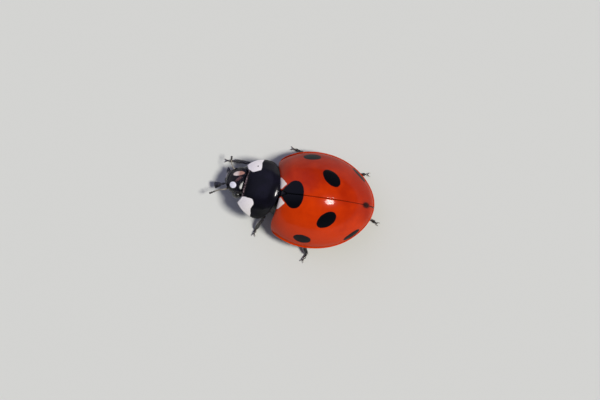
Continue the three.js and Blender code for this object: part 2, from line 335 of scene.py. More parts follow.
def rings_form(rings: Array) -> Form:
    """Close a stack of rings into a form, with a point at each end.

    Args:
        rings: An array of rings, places and coordinates.

    Returns:
        The vertices and faces.
    """
    rows, columns = rings.shape[:2]
    points = np.vstack([rings.reshape(-1, 3), rings[0].mean(axis=0), rings[-1].mean(axis=0)])
    start, end, tail = rows * columns, rows * columns + 1, (rows - 1) * columns
    around = [(j, (j + 1) % columns) for j in range(columns)]
    faces = []
    for near in range(0, tail, columns):
        far = near + columns
        faces += [(near + j, near + k, far + k, far + j) for j, k in around]
    for j, k in around:
        faces += [(start, k, j), (end, tail + j, tail + k)]
    return points, faces


def tube_form(path: Array, across: Array, deep: Array, sides: int, up: Sequence[float] = UP) -> Form:
    """Sweep an oval along a path and close its ends.

    Args:
        path: Places along the middle line.
        across: Half width at each place, square to up.
        deep: Half depth at each place, along up.
        sides: How many vertices each oval has.
        up: The direction that the depth is measured in.

    Returns:
        The vertices and faces.
    """
    along = unit(np.gradient(path, axis=0))
    side = unit(np.cross(along, np.asarray(up, float)))
    top = np.cross(side, along)
    angle = np.linspace(0, 2 * math.pi, sides, endpoint=False)
    wide = np.cos(angle)[None, :, None] * side[:, None, :] * across[:, None, None]
    tall = np.sin(angle)[None, :, None] * top[:, None, :] * deep[:, None, None]
    return rings_form(path[:, None, :] + wide + tall)


def blunt(count: int, power: float = 2.6) -> Array:
    """Give the swelling of a round-ended rod, 0 at its ends and 1 between.

    Args:
        count: How many places there are along it.
        power: How blunt the ends are.

    Returns:
        The share of the radius at each place.
    """
    t = np.abs(np.linspace(-1, 1, count))
    return (1 - t**power) ** (1 / END_FULLNESS)


def dress(piece: bpy.types.Object, finish: Finish, *nodes: str) -> bpy.types.Object:
    """Fix a finished piece to the frame.

    Args:
        piece: The piece, in place.
        finish: The piece's material slot; not used.
        nodes: The CAD nodes that it stands for.

    Returns:
        The same piece.
    """
    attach(piece, BODY)
    if nodes:
        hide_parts(*nodes)
    return piece


def plain_piece(
    name: str, forms: Sequence[Form], material: bpy.types.Material, finish: Finish, *nodes: str
) -> bpy.types.Object:
    """Build a piece of one material and fix it to the frame.

    Args:
        name: The piece's name.
        forms: The vertices and faces of each closed form in it.
        material: Its material.
        finish: The piece's material slot, handed on to dress.
        nodes: The CAD nodes that it stands for.

    Returns:
        The piece.
    """
    shape = Shape()
    shape.add_all(forms)
    return dress(shape.piece(name, [material]), finish, *nodes)


# ---------------------------------------------------------------- plates

RING_SAMPLES = 2600  # places worked out from a plate's centre to its edge
RING_CROWDING = 2.0  # how closely those places crowd towards the edge
UNDER_REACH = 0.98  # how far in the lower face's rings go before the last one closes
UNDER_CROWDING = 1.4  # how closely they crowd towards the edge


def round_over(distance: Array, radius: float) -> Array:
    """Find how far an edge has rounded down.

    Args:
        distance: How far each place lies inside the edge.
        radius: The radius of the rounding.

    Returns:
        The drop at each place, 0 beyond the radius.
    """
    left = np.clip(radius - distance, 0.0, radius)
    return radius - np.sqrt(radius * radius - left * left)


def even_rings(centre: Array, outline: Array, height: Callable, count: int) -> Array:
    """Space rings evenly over a surface from its centre out to its outline.

    Args:
        centre: Where the rings start, seen from above.
        outline: The edge seen from above, one place in each row.
        height: Gives Z for arrays of X and Y.
        count: How many rings to make.

    Returns:
        The rings as an array of rings, places and coordinates.
    """
    share = 1 - (1 - np.linspace(0, 1, RING_SAMPLES)) ** RING_CROWDING
    flat = centre + share[:, None, None] * (outline - centre)
    line = np.concatenate([flat, height(flat[..., 0], flat[..., 1])[..., None]], axis=2)
    steps = np.linalg.norm(np.diff(line, axis=0), axis=2)
    walked = np.concatenate([np.zeros((1, len(outline))), np.cumsum(steps, axis=0)])
    wanted = np.linspace(0, 1, count + 1)[1:]
    rings = np.empty((count, len(outline), 3))
    for j in range(len(outline)):
        for k in range(3):
            rings[:, j, k] = np.interp(wanted * walked[-1, j], walked[:, j], line[:, j, k])
    return rings


class Plate:
    """A closed plate between the two faces that its outline, top and under describe."""

    centre: tuple  # a place that sees the whole outline, from above
    rings: int
    under_rings: int

    def form(self) -> Form:
        """Shape the plate, with a smooth face above and another below.

        Returns:
            The vertices and faces.
        """
        centre, outline = np.array(self.centre), self.outline()
        upper = even_rings(centre, outline, self.top, self.rings)
        shares = 1 - np.linspace(0, UNDER_REACH, self.under_rings) ** UNDER_CROWDING
        flat = centre + shares[:, None, None] * (outline - centre)
        lower = np.concatenate([flat, self.under(flat[..., 0], flat[..., 1])[..., None]], axis=2)
        return rings_form(np.concatenate([upper, lower]))


def behind_line(line: Array, x: Array, y: Array) -> Array:
    """Find how far places lie behind a line that runs across the animal.

    Args:
        line: The line's places seen from above, with rising X.
        x: The places' X.
        y: The places' Y.

    Returns:
        The distance at each place.
    """
    across, along = line.T
    slope = np.gradient(along, across)
    return (y - np.interp(x, across, along)) / np.hypot(1, np.interp(x, across, slope))


def past_slant(x: Array, y: Array, half_width: float, length: float) -> Array:
    """Find how far places lie outside the slanting side of a triangle that points to the tail.

    Args:
        x: The places' X from the triangle's middle.
        y: Their Y from its point.
        half_width: Half the triangle's width at its base.
        length: Its length.

    Returns:
        The distance at each place.
    """
    return (x * length + y * half_width) / math.hypot(half_width, length)


def thin_out(line: Array, spacing: float) -> Array:
    """Space places evenly along an open line, keeping its ends.

    Args:
        line: The line's places, one in each row.
        spacing: The distance wanted between them.

    Returns:
        The new places, without the last.
    """
    count = max(2, round(walked_along(line)[-1] / spacing))
    return spaced(line, count + 1)[:-1]


@dataclass(frozen=True)
class Dome:
    """The dome over the body, whose rim is an ellipse that is longer behind its centre."""

    half_width: float = 2.42
    centre_y: float = 1.6
    front_reach: float = 2.78
    rear_reach: float = 3.14
    rim_z: float = 0.97
    height: float = 2.38
    curve_power: float = 2.1
    curve_fullness: float = 0.58
    tail_taper: float = 0.11
    tail_power: float = 3.5
    tail_limit: float = 1.2

    def curve(self, share: Array) -> Array:
        """Give the height, from 1 at the crest to 0 at the rim.

        Args:
            share: How far out each place lies, 0 to 1.

        Returns:
            The share of the crest's height.
        """
        share = np.clip(share, 0.0, 1.0)
        return (1 - share**self.curve_power) ** self.curve_fullness

    def along(self, y: Array) -> Array:
        """Give how far along the dome each Y lies, -1 at the front and 1 at the tail."""
        reach = np.where(y > self.centre_y, self.rear_reach, self.front_reach)
        return (y - self.centre_y) / reach

    def taper(self, along: Array) -> Array:
        """Give the narrowing towards the tail at each place along the dome."""
        return 1 - self.tail_taper * np.clip(along, 0.0, self.tail_limit) ** self.tail_power

    def share(self, x: Array, y: Array) -> Array:
        """Find how far out places lie: 0 on the axis, 1 at the rim.

        Args:
            x: Their X.
            y: Their Y.

        Returns:
            The share at each place.
        """
        along = self.along(y)
        return np.hypot(x / (self.half_width * self.taper(along)), along)

    def rim(self, angle: Array) -> Array:
        """Give the rim's places, from -90 degrees at the front to 90 at the tail."""
        along = np.sin(angle)
        reach = np.where(along > 0, self.rear_reach, self.front_reach)
        x = np.cos(angle) * self.half_width * self.taper(along)
        return np.stack([x, self.centre_y + along * reach], axis=1)

    def top(self, x: Array, y: Array) -> Array:
        """Give the plain dome's Z at each place."""
        return self.rim_z + self.height * self.curve(self.share(x, y))


@dataclass
class WingCases(Plate):
    """The two wing cases: a dome parted by the suture, with a fine turned-up margin."""

    dome: Dome = field(default_factory=Dome)
    gap: float = 0.007
    base_y: float = -0.02
    base_bow: float = 0.14
    base_half_width: float = 1.2
    shoulder: tuple = ((1.756, -0.408), (2.02, 0.05))
    notch_half_width: float = 0.165
    notch_length: float = 0.36
    suture_round: float = 0.045
    base_round: float = 0.07
    base_roll: float = 1.5
    base_roll_reach: float = 0.36
    wall: float = 0.13
    thin_from: float = 0.9
    thinning: float = 0.6
    margin_share: float = 0.02
    margin_lean: tuple = (1.25, 0.5)
    margin_lift: float = 0.03
    margin_round: float = 0.03
    margin_power: float = 1.5
    brim_lift: float = 0.03
    brim_fillet: float = 0.05
    brim_drop: float = 0.012
    epipleuron: float = 0.14
    epipleuron_lean: tuple = (1.1, 0.35)
    epipleuron_drop: float = 0.02
    epipleuron_sag: float = 0.05
    callus_height: float = 0.05
    callus_x: tuple = (1.52, 0.34)
    callus_y: tuple = (0.42, 0.36)
    base_count: int = 40
    shoulder_count: int = 60
    rim_count: int = 400
    spacing: float = 0.036
    rings: int = 128
    under_rings: int = 22
    centre: tuple = (1.12, 1.9)

    def base_line(self) -> Array:
        """Trace the front margin from the scutellum's corner to the shoulder.

        Returns:
            Its places seen from above.
        """
        x = np.linspace(self.notch_half_width + self.gap, self.base_half_width, self.base_count)
        bow = np.stack([x, self.base_y - self.base_bow * x * x], axis=1)
        control, end = (np.array(p) for p in self.shoulder)
        t = np.linspace(0, 1, self.shoulder_count)[1:, None]
        turn = (1 - t) ** 2 * bow[-1] + 2 * t * (1 - t) * control + t * t * end
        line = np.vstack([bow, turn])
        return line[self.dome.share(line[:, 0], line[:, 1]) < 1]

    def outline(self) -> Array:
        """Trace the left wing case seen from above.

        Returns:
            The places of its edge, from the tail along the suture and round.
        """
        base = self.base_line()
        last = base[-1]
        along = self.dome.along(last[1:])[0]
        rim = self.dome.rim(np.linspace(math.asin(along), math.pi / 2, self.rim_count))
        rim = rim[rim[:, 0] > self.gap]
        tip = np.array([self.gap, self.base_y + self.notch_length])
        tail = np.array([self.gap, self.dome.centre_y + self.dome.rear_reach])
        parts = [np.array([tail, tip]), np.array([tip, base[0]]), base, np.vstack([last, rim, tail])]
        return np.vstack([thin_out(part, self.spacing) for part in parts])

    def behind(self, x: Array, y: Array) -> Array:
        """Find how far places lie behind the front margin."""
        return behind_line(self.base_line(), x, y)

    def inside(self, x: Array, y: Array) -> Array:
        """Find how far places lie inside the scutellum's notch and the front margin.

        Args:
            x: Their X.
            y: Their Y.

        Returns:
            The distance at each place.
        """
        back = y - self.base_y - self.notch_length
        notch = past_slant(x - self.gap, back, self.notch_half_width, self.notch_length)
        return np.where(back < 0, np.minimum(self.behind(x, y), notch), FAR)

    def top(self, x: Array, y: Array) -> Array:
        """Give the outer face's Z.

        Args:
            x: Places' X.
            y: Places' Y.

        Returns:
            Z at each place.
        """
        dome = self.dome
        share, along = dome.share(x, y), dome.along(y)
        margin = self.margin_share * (self.margin_lean[0] - self.margin_lean[1] * along)
        rise = dome.rim_z + dome.height * dome.curve(share / (1 - margin))
        outer = np.clip((share - 1 + margin) / margin, 0, 1)
        brim = dome.rim_z + self.brim_lift + self.margin_lift * outer**self.margin_power
        z = soft_max(rise, brim, self.brim_fillet) - self.brim_drop
        z += self.callus_height * bump(x, *self.callus_x) * bump(y, *self.callus_y)
        z -= round_over((1 - share) * dome.half_width, self.margin_round)
        z -= round_over(x - self.gap, self.suture_round)
        z -= 0.5 * self.base_roll * np.clip(self.base_roll_reach - self.behind(x, y), 0, 1) ** 2
        return z - round_over(self.inside(x, y), self.base_round)

    def under(self, x: Array, y: Array) -> Array:
        """Give the inner face's Z, with the flat epipleuron inside the rim.

        Args:
            x: Places' X.
            y: Places' Y.

        Returns:
            Z at each place.
        """
        dome = self.dome
        share = dome.share(x, y)
        width = self.epipleuron * (self.epipleuron_lean[0] - self.epipleuron_lean[1] * dome.along(y))
        inner = dome.rim_z + (dome.height - self.wall) * dome.curve(share / (1 - width))
        sag = self.epipleuron_sag * np.sin(np.clip((1 - share) / width, 0, 1) * math.pi)
        fold = dome.rim_z - self.epipleuron_drop - sag
        z = np.where(share > 1 - width, fold, inner)
        wall = self.wall * (1 - self.thinning * smooth_step(self.thin_from, 1.0, share))
        return np.minimum(z, self.top(x, y) - wall)

    def build(self, finish: "WingCaseFinish") -> list:
        """Build both wing cases.

        Args:
            finish: Their red finish with its marks.

        Returns:
            The two pieces.
        """
        points, faces = self.form()
        material = finish.material()
        pieces = []
        for side in Side:
            forms = [(points * np.array([side.value, 1, 1]), faces)]
            name, node = f"wing_case_{side.label}", f"elytron_{side.label}"
            pieces.append(plain_piece(name, forms, material, Finish.WING_CASE, node))
        return pieces


@dataclass
class Scutellum(Plate):
    """The small triangle between the roots of the wing cases."""

    dome: Dome = field(default_factory=Dome)
    half_width: float = 0.155
    length: float = 0.335
    base_y: float = -0.02
    reach: float = 0.12
    round: float = 0.05
    root_y: float = 0.16
    root_fall: float = 4.4
    sink: float = 0.02
    thickness: float = 0.3
    centre: tuple = (0.0, 0.0)
    spacing: float = 0.02
    rings: int = 12
    under_rings: int = 4

    def outline(self) -> Array:
        """Trace the triangle seen from above, running forward under the pronotum.

        Returns:
            The places of its edge.
        """
        w, y = self.half_width, self.base_y
        corners = [(0, y + self.length), (-w, y), (-w, y - self.reach), (w, y - self.reach), (w, y)]
        loop = [np.array(c, float) for c in corners]
        pairs = zip(loop, loop[1:] + loop[:1])
        return np.vstack([thin_out(np.array(pair), self.spacing) for pair in pairs])

    def top(self, x: Array, y: Array) -> Array:
        """Give the upper face's Z.

        Args:
            x: Places' X.
            y: Places' Y.

        Returns:
            Z at each place.
        """
        across = np.abs(x)
        edge = -past_slant(across, y - self.base_y - self.length, self.half_width, self.length)
        edge = np.minimum(edge, self.half_width - across)
        z = self.dome.top(x, y) - self.sink - self.root_fall * np.clip(self.root_y - y, 0, 1) ** 2
        return z - round_over(np.maximum(edge, 0), self.round)

    def under(self, x: Array, y: Array) -> Array:
        """Give the lower face's Z at each place."""
        return self.top(x, y) - self.thickness

    def build(self, finish: "ShieldFinish") -> bpy.types.Object:
        """Build the scutellum.

        Args:
            finish: The shield's black finish.

        Returns:
            The piece.
        """
        forms = [self.form()]
        return plain_piece("scutellum_plate", forms, finish.material(), Finish.SHIELD, "scutellum")


# ---------------------------------------------------------------- pronotum

FOREBODY = Placing((-0.06, -0.05, 0.0), math.radians(7.7))
HEAD_PLACE = Placing((-0.4, -1.9, 0.0), math.radians(17))


@dataclass
class Pronotum(Plate):
    """The shield behind the head: a dome sloping forward, hollowed in front between two corners."""

    half_width: float = 1.5
    widest_y: float = -0.84
    rear_length: float = 0.84
    front_length: float = 1.4
    corner_y: float = -1.91
    notch: tuple = ((-0.66, -1.76), (-0.33, -1.79), (0.0, -1.8), (0.33, -1.79), (0.66, -1.76))
    dome_half_width: float = 1.525
    dome_rear: float = 2.5
    dome_front: float = 1.4
    centre: tuple = (0.0, -1.0)
    brow_half_width: float = 0.98
    rim_z: float = 1.15
    height: float = 1.39
    slope: float = 0.4
    side_slope: float = 0.02
    squareness: float = 3.0
    flatness: float = 2.6
    fullness: float = 0.58
    roll: float = 0.94
    roll_reach: float = 0.67
    roll_from: float = 0.1
    roll_to: float = 0.5
    edge_round: float = 0.035
    bead_at: float = 0.03
    bead_width: float = 0.02
    bead_height: float = 0.014
    groove_at: float = 0.075
    groove_width: float = 0.022
    groove_depth: float = 0.007
    wall: float = 0.16
    hollow: float = 0.5
    fold_width: float = 0.34
    rings: int = 120
    under_rings: int = 14
    rear_count: int = 120
    side_count: int = 60
    brow_count: int = 90
    spacing: float = 0.03

    def outline(self) -> Array:
        """Trace the shield seen from above.

        Returns:
            The places of its edge in its own frame.
        """
        corner = math.asin((self.corner_y - self.widest_y) / self.front_length)
        corner_x = self.half_width * math.cos(corner)
        rear = np.linspace(0, math.pi, self.rear_count)
        right = np.linspace(math.pi, math.pi - corner, self.side_count)
        left = np.linspace(corner, 0, self.side_count)

        def arc(angle: Array, reach: float) -> Array:
            """Trace part of an ellipse about the widest line."""
            x, y = self.half_width * np.cos(angle), self.widest_y + reach * np.sin(angle)
            return np.stack([x, y], axis=1)

        sides = [arc(right, self.front_length), self.brow(corner_x), arc(left, self.front_length)]
        return np.vstack([thin_out(part, self.spacing) for part in [arc(rear, self.rear_length), *sides]])

    def brow(self, half_width: float) -> Array:
        """Trace the hollowed front margin between the two corners.

        Args:
            half_width: How far each corner lies to the side.

        Returns:
            Its places seen from above.
        """
        ends = [(-half_width, self.corner_y), *self.notch, (half_width, self.corner_y)]
        return spline(ends, self.brow_count)

    def inside(self, x: Array, y: Array) -> Array:
        """Find how far places lie inside the edge.

        Args:
            x: Their X in the shield's frame.
            y: Their Y.

        Returns:
            The distance at each place.
        """
        front = behind_line(self.brow(self.brow_half_width), x, y)
        reach = np.where(y > self.widest_y, self.rear_length, self.front_length)
        u, v = x / self.half_width, (y - self.widest_y) / reach
        share = np.hypot(u, v)
        fall = np.hypot(u / self.half_width, v / reach) / np.maximum(share, TINY)
        return np.minimum(front, (1 - share) / fall)

    def top(self, x: Array, y: Array) -> Array:
        """Give the outer face's Z, with a fine bead round the edge.

        Args:
            x: Places' X in the shield's frame.
            y: Places' Y.

        Returns:
            Z at each place.
        """
        back = y - self.widest_y
        reach = np.where(back > 0, self.dome_rear, self.dome_front)
        power = self.squareness
        share = (np.abs(x / self.dome_half_width) ** power + np.abs(back / reach) ** power) ** (1 / power)
        share = np.clip(share, 0, 1)
        crest = self.height + self.slope * back
        z = self.rim_z + crest * (1 - share**self.flatness) ** self.fullness + self.side_slope * x
        edge = np.maximum(self.inside(x, y), 0)
        rear = smooth_step(self.roll_from, self.roll_to, back)
        z -= 0.5 * self.roll * rear * np.clip(self.roll_reach - edge, 0, 1) ** 2
        z += self.bead_height * bump(edge, self.bead_at, self.bead_width)
        z -= self.groove_depth * bump(edge, self.groove_at, self.groove_width)
        return z - round_over(edge, self.edge_round)

    def under(self, x: Array, y: Array) -> Array:
        """Give the inner face's Z: folded under at the sides, hollow in the middle."""
        edge = np.maximum(self.inside(x, y), 0)
        return self.top(x, y) - self.wall - self.hollow * smooth_step(0, self.fold_width, edge)

    def build(self, finish: "ShieldFinish") -> bpy.types.Object:
        """Build the shield.

        Args:
            finish: Its black finish with the pale corners.

        Returns:
            The piece.
        """
        points, faces = self.form()
        forms = [(FOREBODY.place(points), faces)]
        return plain_piece("shield", forms, finish.material(), Finish.SHIELD, "pronotum")


# ---------------------------------------------------------------- the body's skin


@dataclass
class BodySkin:
    """Prothorax, thorax and abdomen under one skin, with the plates of the belly in relief."""

    rim_z: float = 0.97
    stations: tuple = (  # Y, half width, top and bottom of each section
        (-1.72, 0.34, 1.36, 0.98),
        (-1.6, 0.62, 1.5, 0.84),
        (-1.3, 0.98, 1.72, 0.68),
        (-0.9, 1.1, 1.95, 0.62),
        (-0.5, 1.02, 2.1, 0.63),
        (-0.2, 0.98, 2.2, 0.62),
        (0.1, 1.36, 2.3, 0.58),
        (0.6, 1.78, 2.5, 0.53),
        (1.4, 1.98, 2.75, 0.52),
        (2.2, 1.93, 2.68, 0.53),
        (3.0, 1.66, 2.34, 0.56),
        (3.7, 1.2, 1.8, 0.64),
        (4.15, 0.72, 1.34, 0.76),
        (4.36, 0.34, 1.1, 0.86),
    )
    sections: int = 420
    around: int = 150
    rings_y: tuple = (2.42, 2.86, 3.24, 3.56, 3.84, 4.08)
    seams_y: tuple = (0.62, 1.52)
    rings_end: float = 4.3
    ring_step: float = 0.05
    ring_powers: tuple = (0.5, 8)  # how soon a ring swells, and how late it ends
    ring_bow: float = 0.05
    seam_depth: float = 0.05
    seam_lean: float = 0.12
    seam_width: float = 0.03
    groove: tuple = (0.03, 0.02)  # depth and width of the middle line
    groove_ends: tuple = ((0.7, 0.8), (2.1, 2.2))  # where it fades in and out along Y
    coxae: tuple = ((0.38, -0.98), (0.78, 0.86), (0.62, 2.02))
    socket_size: tuple = (0.36, 0.24)
    socket_swell: float = 0.11
    socket_ring: tuple = (0.05, 1.2, 0.16)  # depth of the groove round it, its place and width as shares
    side_power: float = 0.86
    back_power: float = 1.1
    belly_power: float = 0.62
    neck: tuple = (-0.5, 0.1)  # where the turn of the forebody fades out along Y
    neck_shift: tuple = (0.0, 0.05, 0.0)

    def profile(self) -> tuple[Array, Array, Array, Array]:
        """Give Y, half width, top and bottom of evenly spaced sections."""
        y, wide, top, bottom = spline(self.stations, self.sections).T
        return y, wide, top, bottom

    def relief(self, x: Array, y: Array) -> Array:
        """Give how far the belly stands out at each place.

        Args:
            x: Places' X.
            y: Places' Y.

        Returns:
            The depth below the plain belly.
        """
        depth = np.zeros_like(y)
        soon, late = self.ring_powers
        for i, start in enumerate(self.rings_y):
            end = self.rings_y[i + 1] if i + 1 < len(self.rings_y) else self.rings_end
            bow = start - self.ring_bow * x * x
            share = np.clip((y - bow) / (end - start), 0, 1)
            inside = (y > bow) & (share < 1)
            depth += np.where(inside, self.ring_step * share**soon * (1 - share**late), 0)
        for seam in self.seams_y:
            depth -= self.seam_depth * bump(y - self.seam_lean * np.abs(x), seam, self.seam_width)
        cut, width = self.groove
        front, rear = self.groove_ends
        depth -= cut * bump(x, 0, width) * smooth_step(*front, y) * (1 - smooth_step(*rear, y))
        wide, long = self.socket_size
        moat, moat_at, moat_width = self.socket_ring
        for cx, cy in self.coxae:
            near = np.hypot((np.abs(x) - cx) / wide, (y - cy) / long)
            depth += self.socket_swell * np.exp(-(near**3)) - moat * bump(near, moat_at, moat_width)
        return depth

    def form(self) -> Form:
        """Shape the skin, turned with the forebody in front.

        Returns:
            The vertices and faces.
        """
        y, wide, top, bottom = self.profile()
        angle = np.linspace(0, 2 * math.pi, self.around, endpoint=False)
        c, s = np.cos(angle), np.sin(angle)
        x = wide[:, None] * np.sign(c) * np.abs(c) ** self.side_power
        above = self.rim_z + (top - self.rim_z)[:, None] * np.abs(s) ** self.back_power
        below = self.rim_z - (self.rim_z - bottom)[:, None] * np.abs(s) ** self.belly_power
        z = np.where(s > 0, above, below)
        yy = np.broadcast_to(y[:, None], x.shape)
        z = z - np.where(s < 0, self.relief(x, yy) * np.abs(s) ** 0.5, 0)
        turn = 1 - smooth_step(*self.neck, yy)
        plain = np.stack([x, yy, z], axis=2)
        bent = FOREBODY.place(plain + np.array(self.neck_shift))
        return rings_form(plain + (bent - plain) * turn[..., None])

    def build(self, finish: "SkinFinish") -> bpy.types.Object:
        """Build the skin.

        Args:
            finish: The dull black finish with its pale side mark.

        Returns:
            The piece.
        """
        nodes = ("thorax", "abdomen", "prothorax")
        return plain_piece("body_skin", [self.form()], finish.material(), Finish.UNDERSIDE, *nodes)


# ---------------------------------------------------------------- head


def ball_rings(around: int, rows: int) -> Array:
    """Lay rings on a ball of radius 1, from its top down.

    Args:
        around: How many vertices each ring has.
        rows: How many rings there are.

    Returns:
        An array of rings, places and coordinates.
    """
    polar = np.linspace(0, math.pi, rows + 2)[1:-1, None]
    angle = np.linspace(0, 2 * math.pi, around, endpoint=False)
    x, y = np.sin(polar) * np.cos(angle), np.sin(polar) * np.sin(angle)
    return np.stack([x, y, np.broadcast_to(np.cos(polar), x.shape)], axis=2)


def oval_form(
    centre: Sequence[float], radii: Sequence[float], around: int, rows: int, turn: Matrix = Matrix()
) -> Form:
    """Build an ellipsoid.

    Args:
        centre: Its middle.
        radii: Its half sizes.
        around: How many vertices each ring has.
        rows: How many rings it has.
        turn: A rotation about its middle.

    Returns:
        The vertices and faces.
    """
    rings = ball_rings(around, rows) * np.asarray(radii, float)
    return rings_form(rings @ np.array(turn.to_3x3()).T + np.asarray(centre, float))


@dataclass
class Head:
    """The head: a flat-faced capsule that looks forward and up, with its mouthparts."""

    centre: tuple = (0.0, -0.31, 1.18)
    half_width: float = 0.7
    half_depth: float = 0.465
    half_length: float = 0.69
    flatness: float = 0.12
    squareness: tuple = (2.2, 3.4)
    roll: float = math.radians(10)
    crown_normal: tuple = (-0.02, 0.26, 0.965)
    crown_depth: float = 0.031
    crown_flatness: float = 0.85
    taper: float = 0.24
    tilt: float = math.radians(-45)
    rows: int = 130
    around: int = 200
    square_from: tuple = (-0.1, 0.6)
    taper_power: float = 1.2
    face_from: tuple = (0.1, 0.6)
    seam: tuple = (-0.30, 0.12, 0.4)  # the clypeus's upper seam: its middle, its rise and how far out
    seam_size: tuple = (0.022, 0.022)
    clypeus: tuple = (0.06, 0.018)  # how softly it starts and how far it stands out
    brow_depth: float = 0.02
    brow_x: tuple = (0, 0.1)
    brow_z: tuple = (0.12, 0.2)
    socket: tuple = (0.47, -0.16)
    socket_radius: float = 0.09
    socket_depth: float = 0.05
    socket_rim: tuple = (0.014, 1.3, 0.25)  # how far it stands out, its place and width as shares
    crown_soft: float = 0.3
    face_below: float = 0.2
    seat_lean: float = 0.02

    def tilted(self, local: Array) -> Array:
        """Carry points of the capsule's own axes into the head's frame."""
        turn = np.array(Matrix.Rotation(-self.roll, 3, "Y") @ Matrix.Rotation(self.tilt, 3, "X"))
        return local @ turn.T + np.asarray(self.centre)

    def capsule(self) -> Array:
        """Shape the capsule with its seams and sockets.

        Returns:
            Its rings in the head's frame.
        """
        x, y, z = np.moveaxis(ball_rings(self.around, self.rows), 2, 0)
        low, high = self.squareness
        power = low + (high - low) * smooth_step(*self.square_from, z)
        swell = (np.abs(x) ** power + np.hypot(y, z) ** power) ** (-1 / power)
        x, y, z = x * swell, y * swell, z * swell
        wide = self.half_width * (1 - self.taper * np.clip(-z, 0, 1) ** self.taper_power)
        deep = self.half_depth * (1 - self.flatness * np.clip(-y, 0, 1))
        local = np.stack([x * wide, y * deep, z * self.half_length], axis=2)
        local[..., 1] += smooth_step(*self.face_from, -y) * self.face_relief(local[..., 0], local[..., 2])
        points = self.tilted(local)
        normal = unit(self.crown_normal)
        over = points @ normal
        over -= over.max() - self.crown_depth
        worn = soft_max(over, 0.0, self.crown_soft * self.crown_depth)
        return points - self.crown_flatness * worn[..., None] * normal

    def face_relief(self, x: Array, z: Array) -> Array:
        """Give how far the face is hollowed: seam, clypeus, brow and the feelers' sockets.

        Args:
            x: Places' X in the capsule's own axes.
            z: Places' Z in those axes.

        Returns:
            The hollow's depth at each place, less where the face stands out.
        """
        middle, rise, reach = self.seam
        depth, width = self.seam_size
        start, swell = self.clypeus
        seam = middle + rise * np.clip(np.abs(x) / reach, 0, 1) ** 2
        hollow = depth * bump(z, seam, width) - swell * smooth_step(seam, seam - start, z)
        hollow += self.brow_depth * bump(x, *self.brow_x) * bump(z, *self.brow_z)
        rim, rim_at, rim_width = self.socket_rim
        for side in Side:
            across, down = x - side.value * self.socket[0], z - self.socket[1]
            near = np.hypot(across, down) / self.socket_radius
            hollow += self.socket_depth * np.exp(-(near**4)) - rim * bump(near, rim_at, rim_width)
        return hollow

    def seat(self, x: float, y: float) -> Array:
        """Find the point of the face above a place of the head's frame.

        Args:
            x: The place's X.
            y: The place's Y.

        Returns:
            The point in the animal's frame.
        """
        points = self.capsule().reshape(-1, 3)
        points = points[points[:, 2] > self.centre[2] - self.face_below]
        gap = np.hypot(points[:, 0] - x, points[:, 1] - y) - self.seat_lean * points[:, 2]
        return HEAD_PLACE.place(points[np.argmin(gap)])

    def form(self) -> Form:
        """Give the capsule's vertices and faces in the animal's frame."""
        points, faces = rings_form(self.capsule())
        return HEAD_PLACE.place(points), faces

    def build(self, finish: "HeadFinish") -> bpy.types.Object:
        """Build the head capsule.

        Args:
            finish: Its black finish with the two pale marks.

        Returns:
            The piece.
        """
        return plain_piece("head_capsule", [self.form()], finish.material(), Finish.SHIELD, "head")


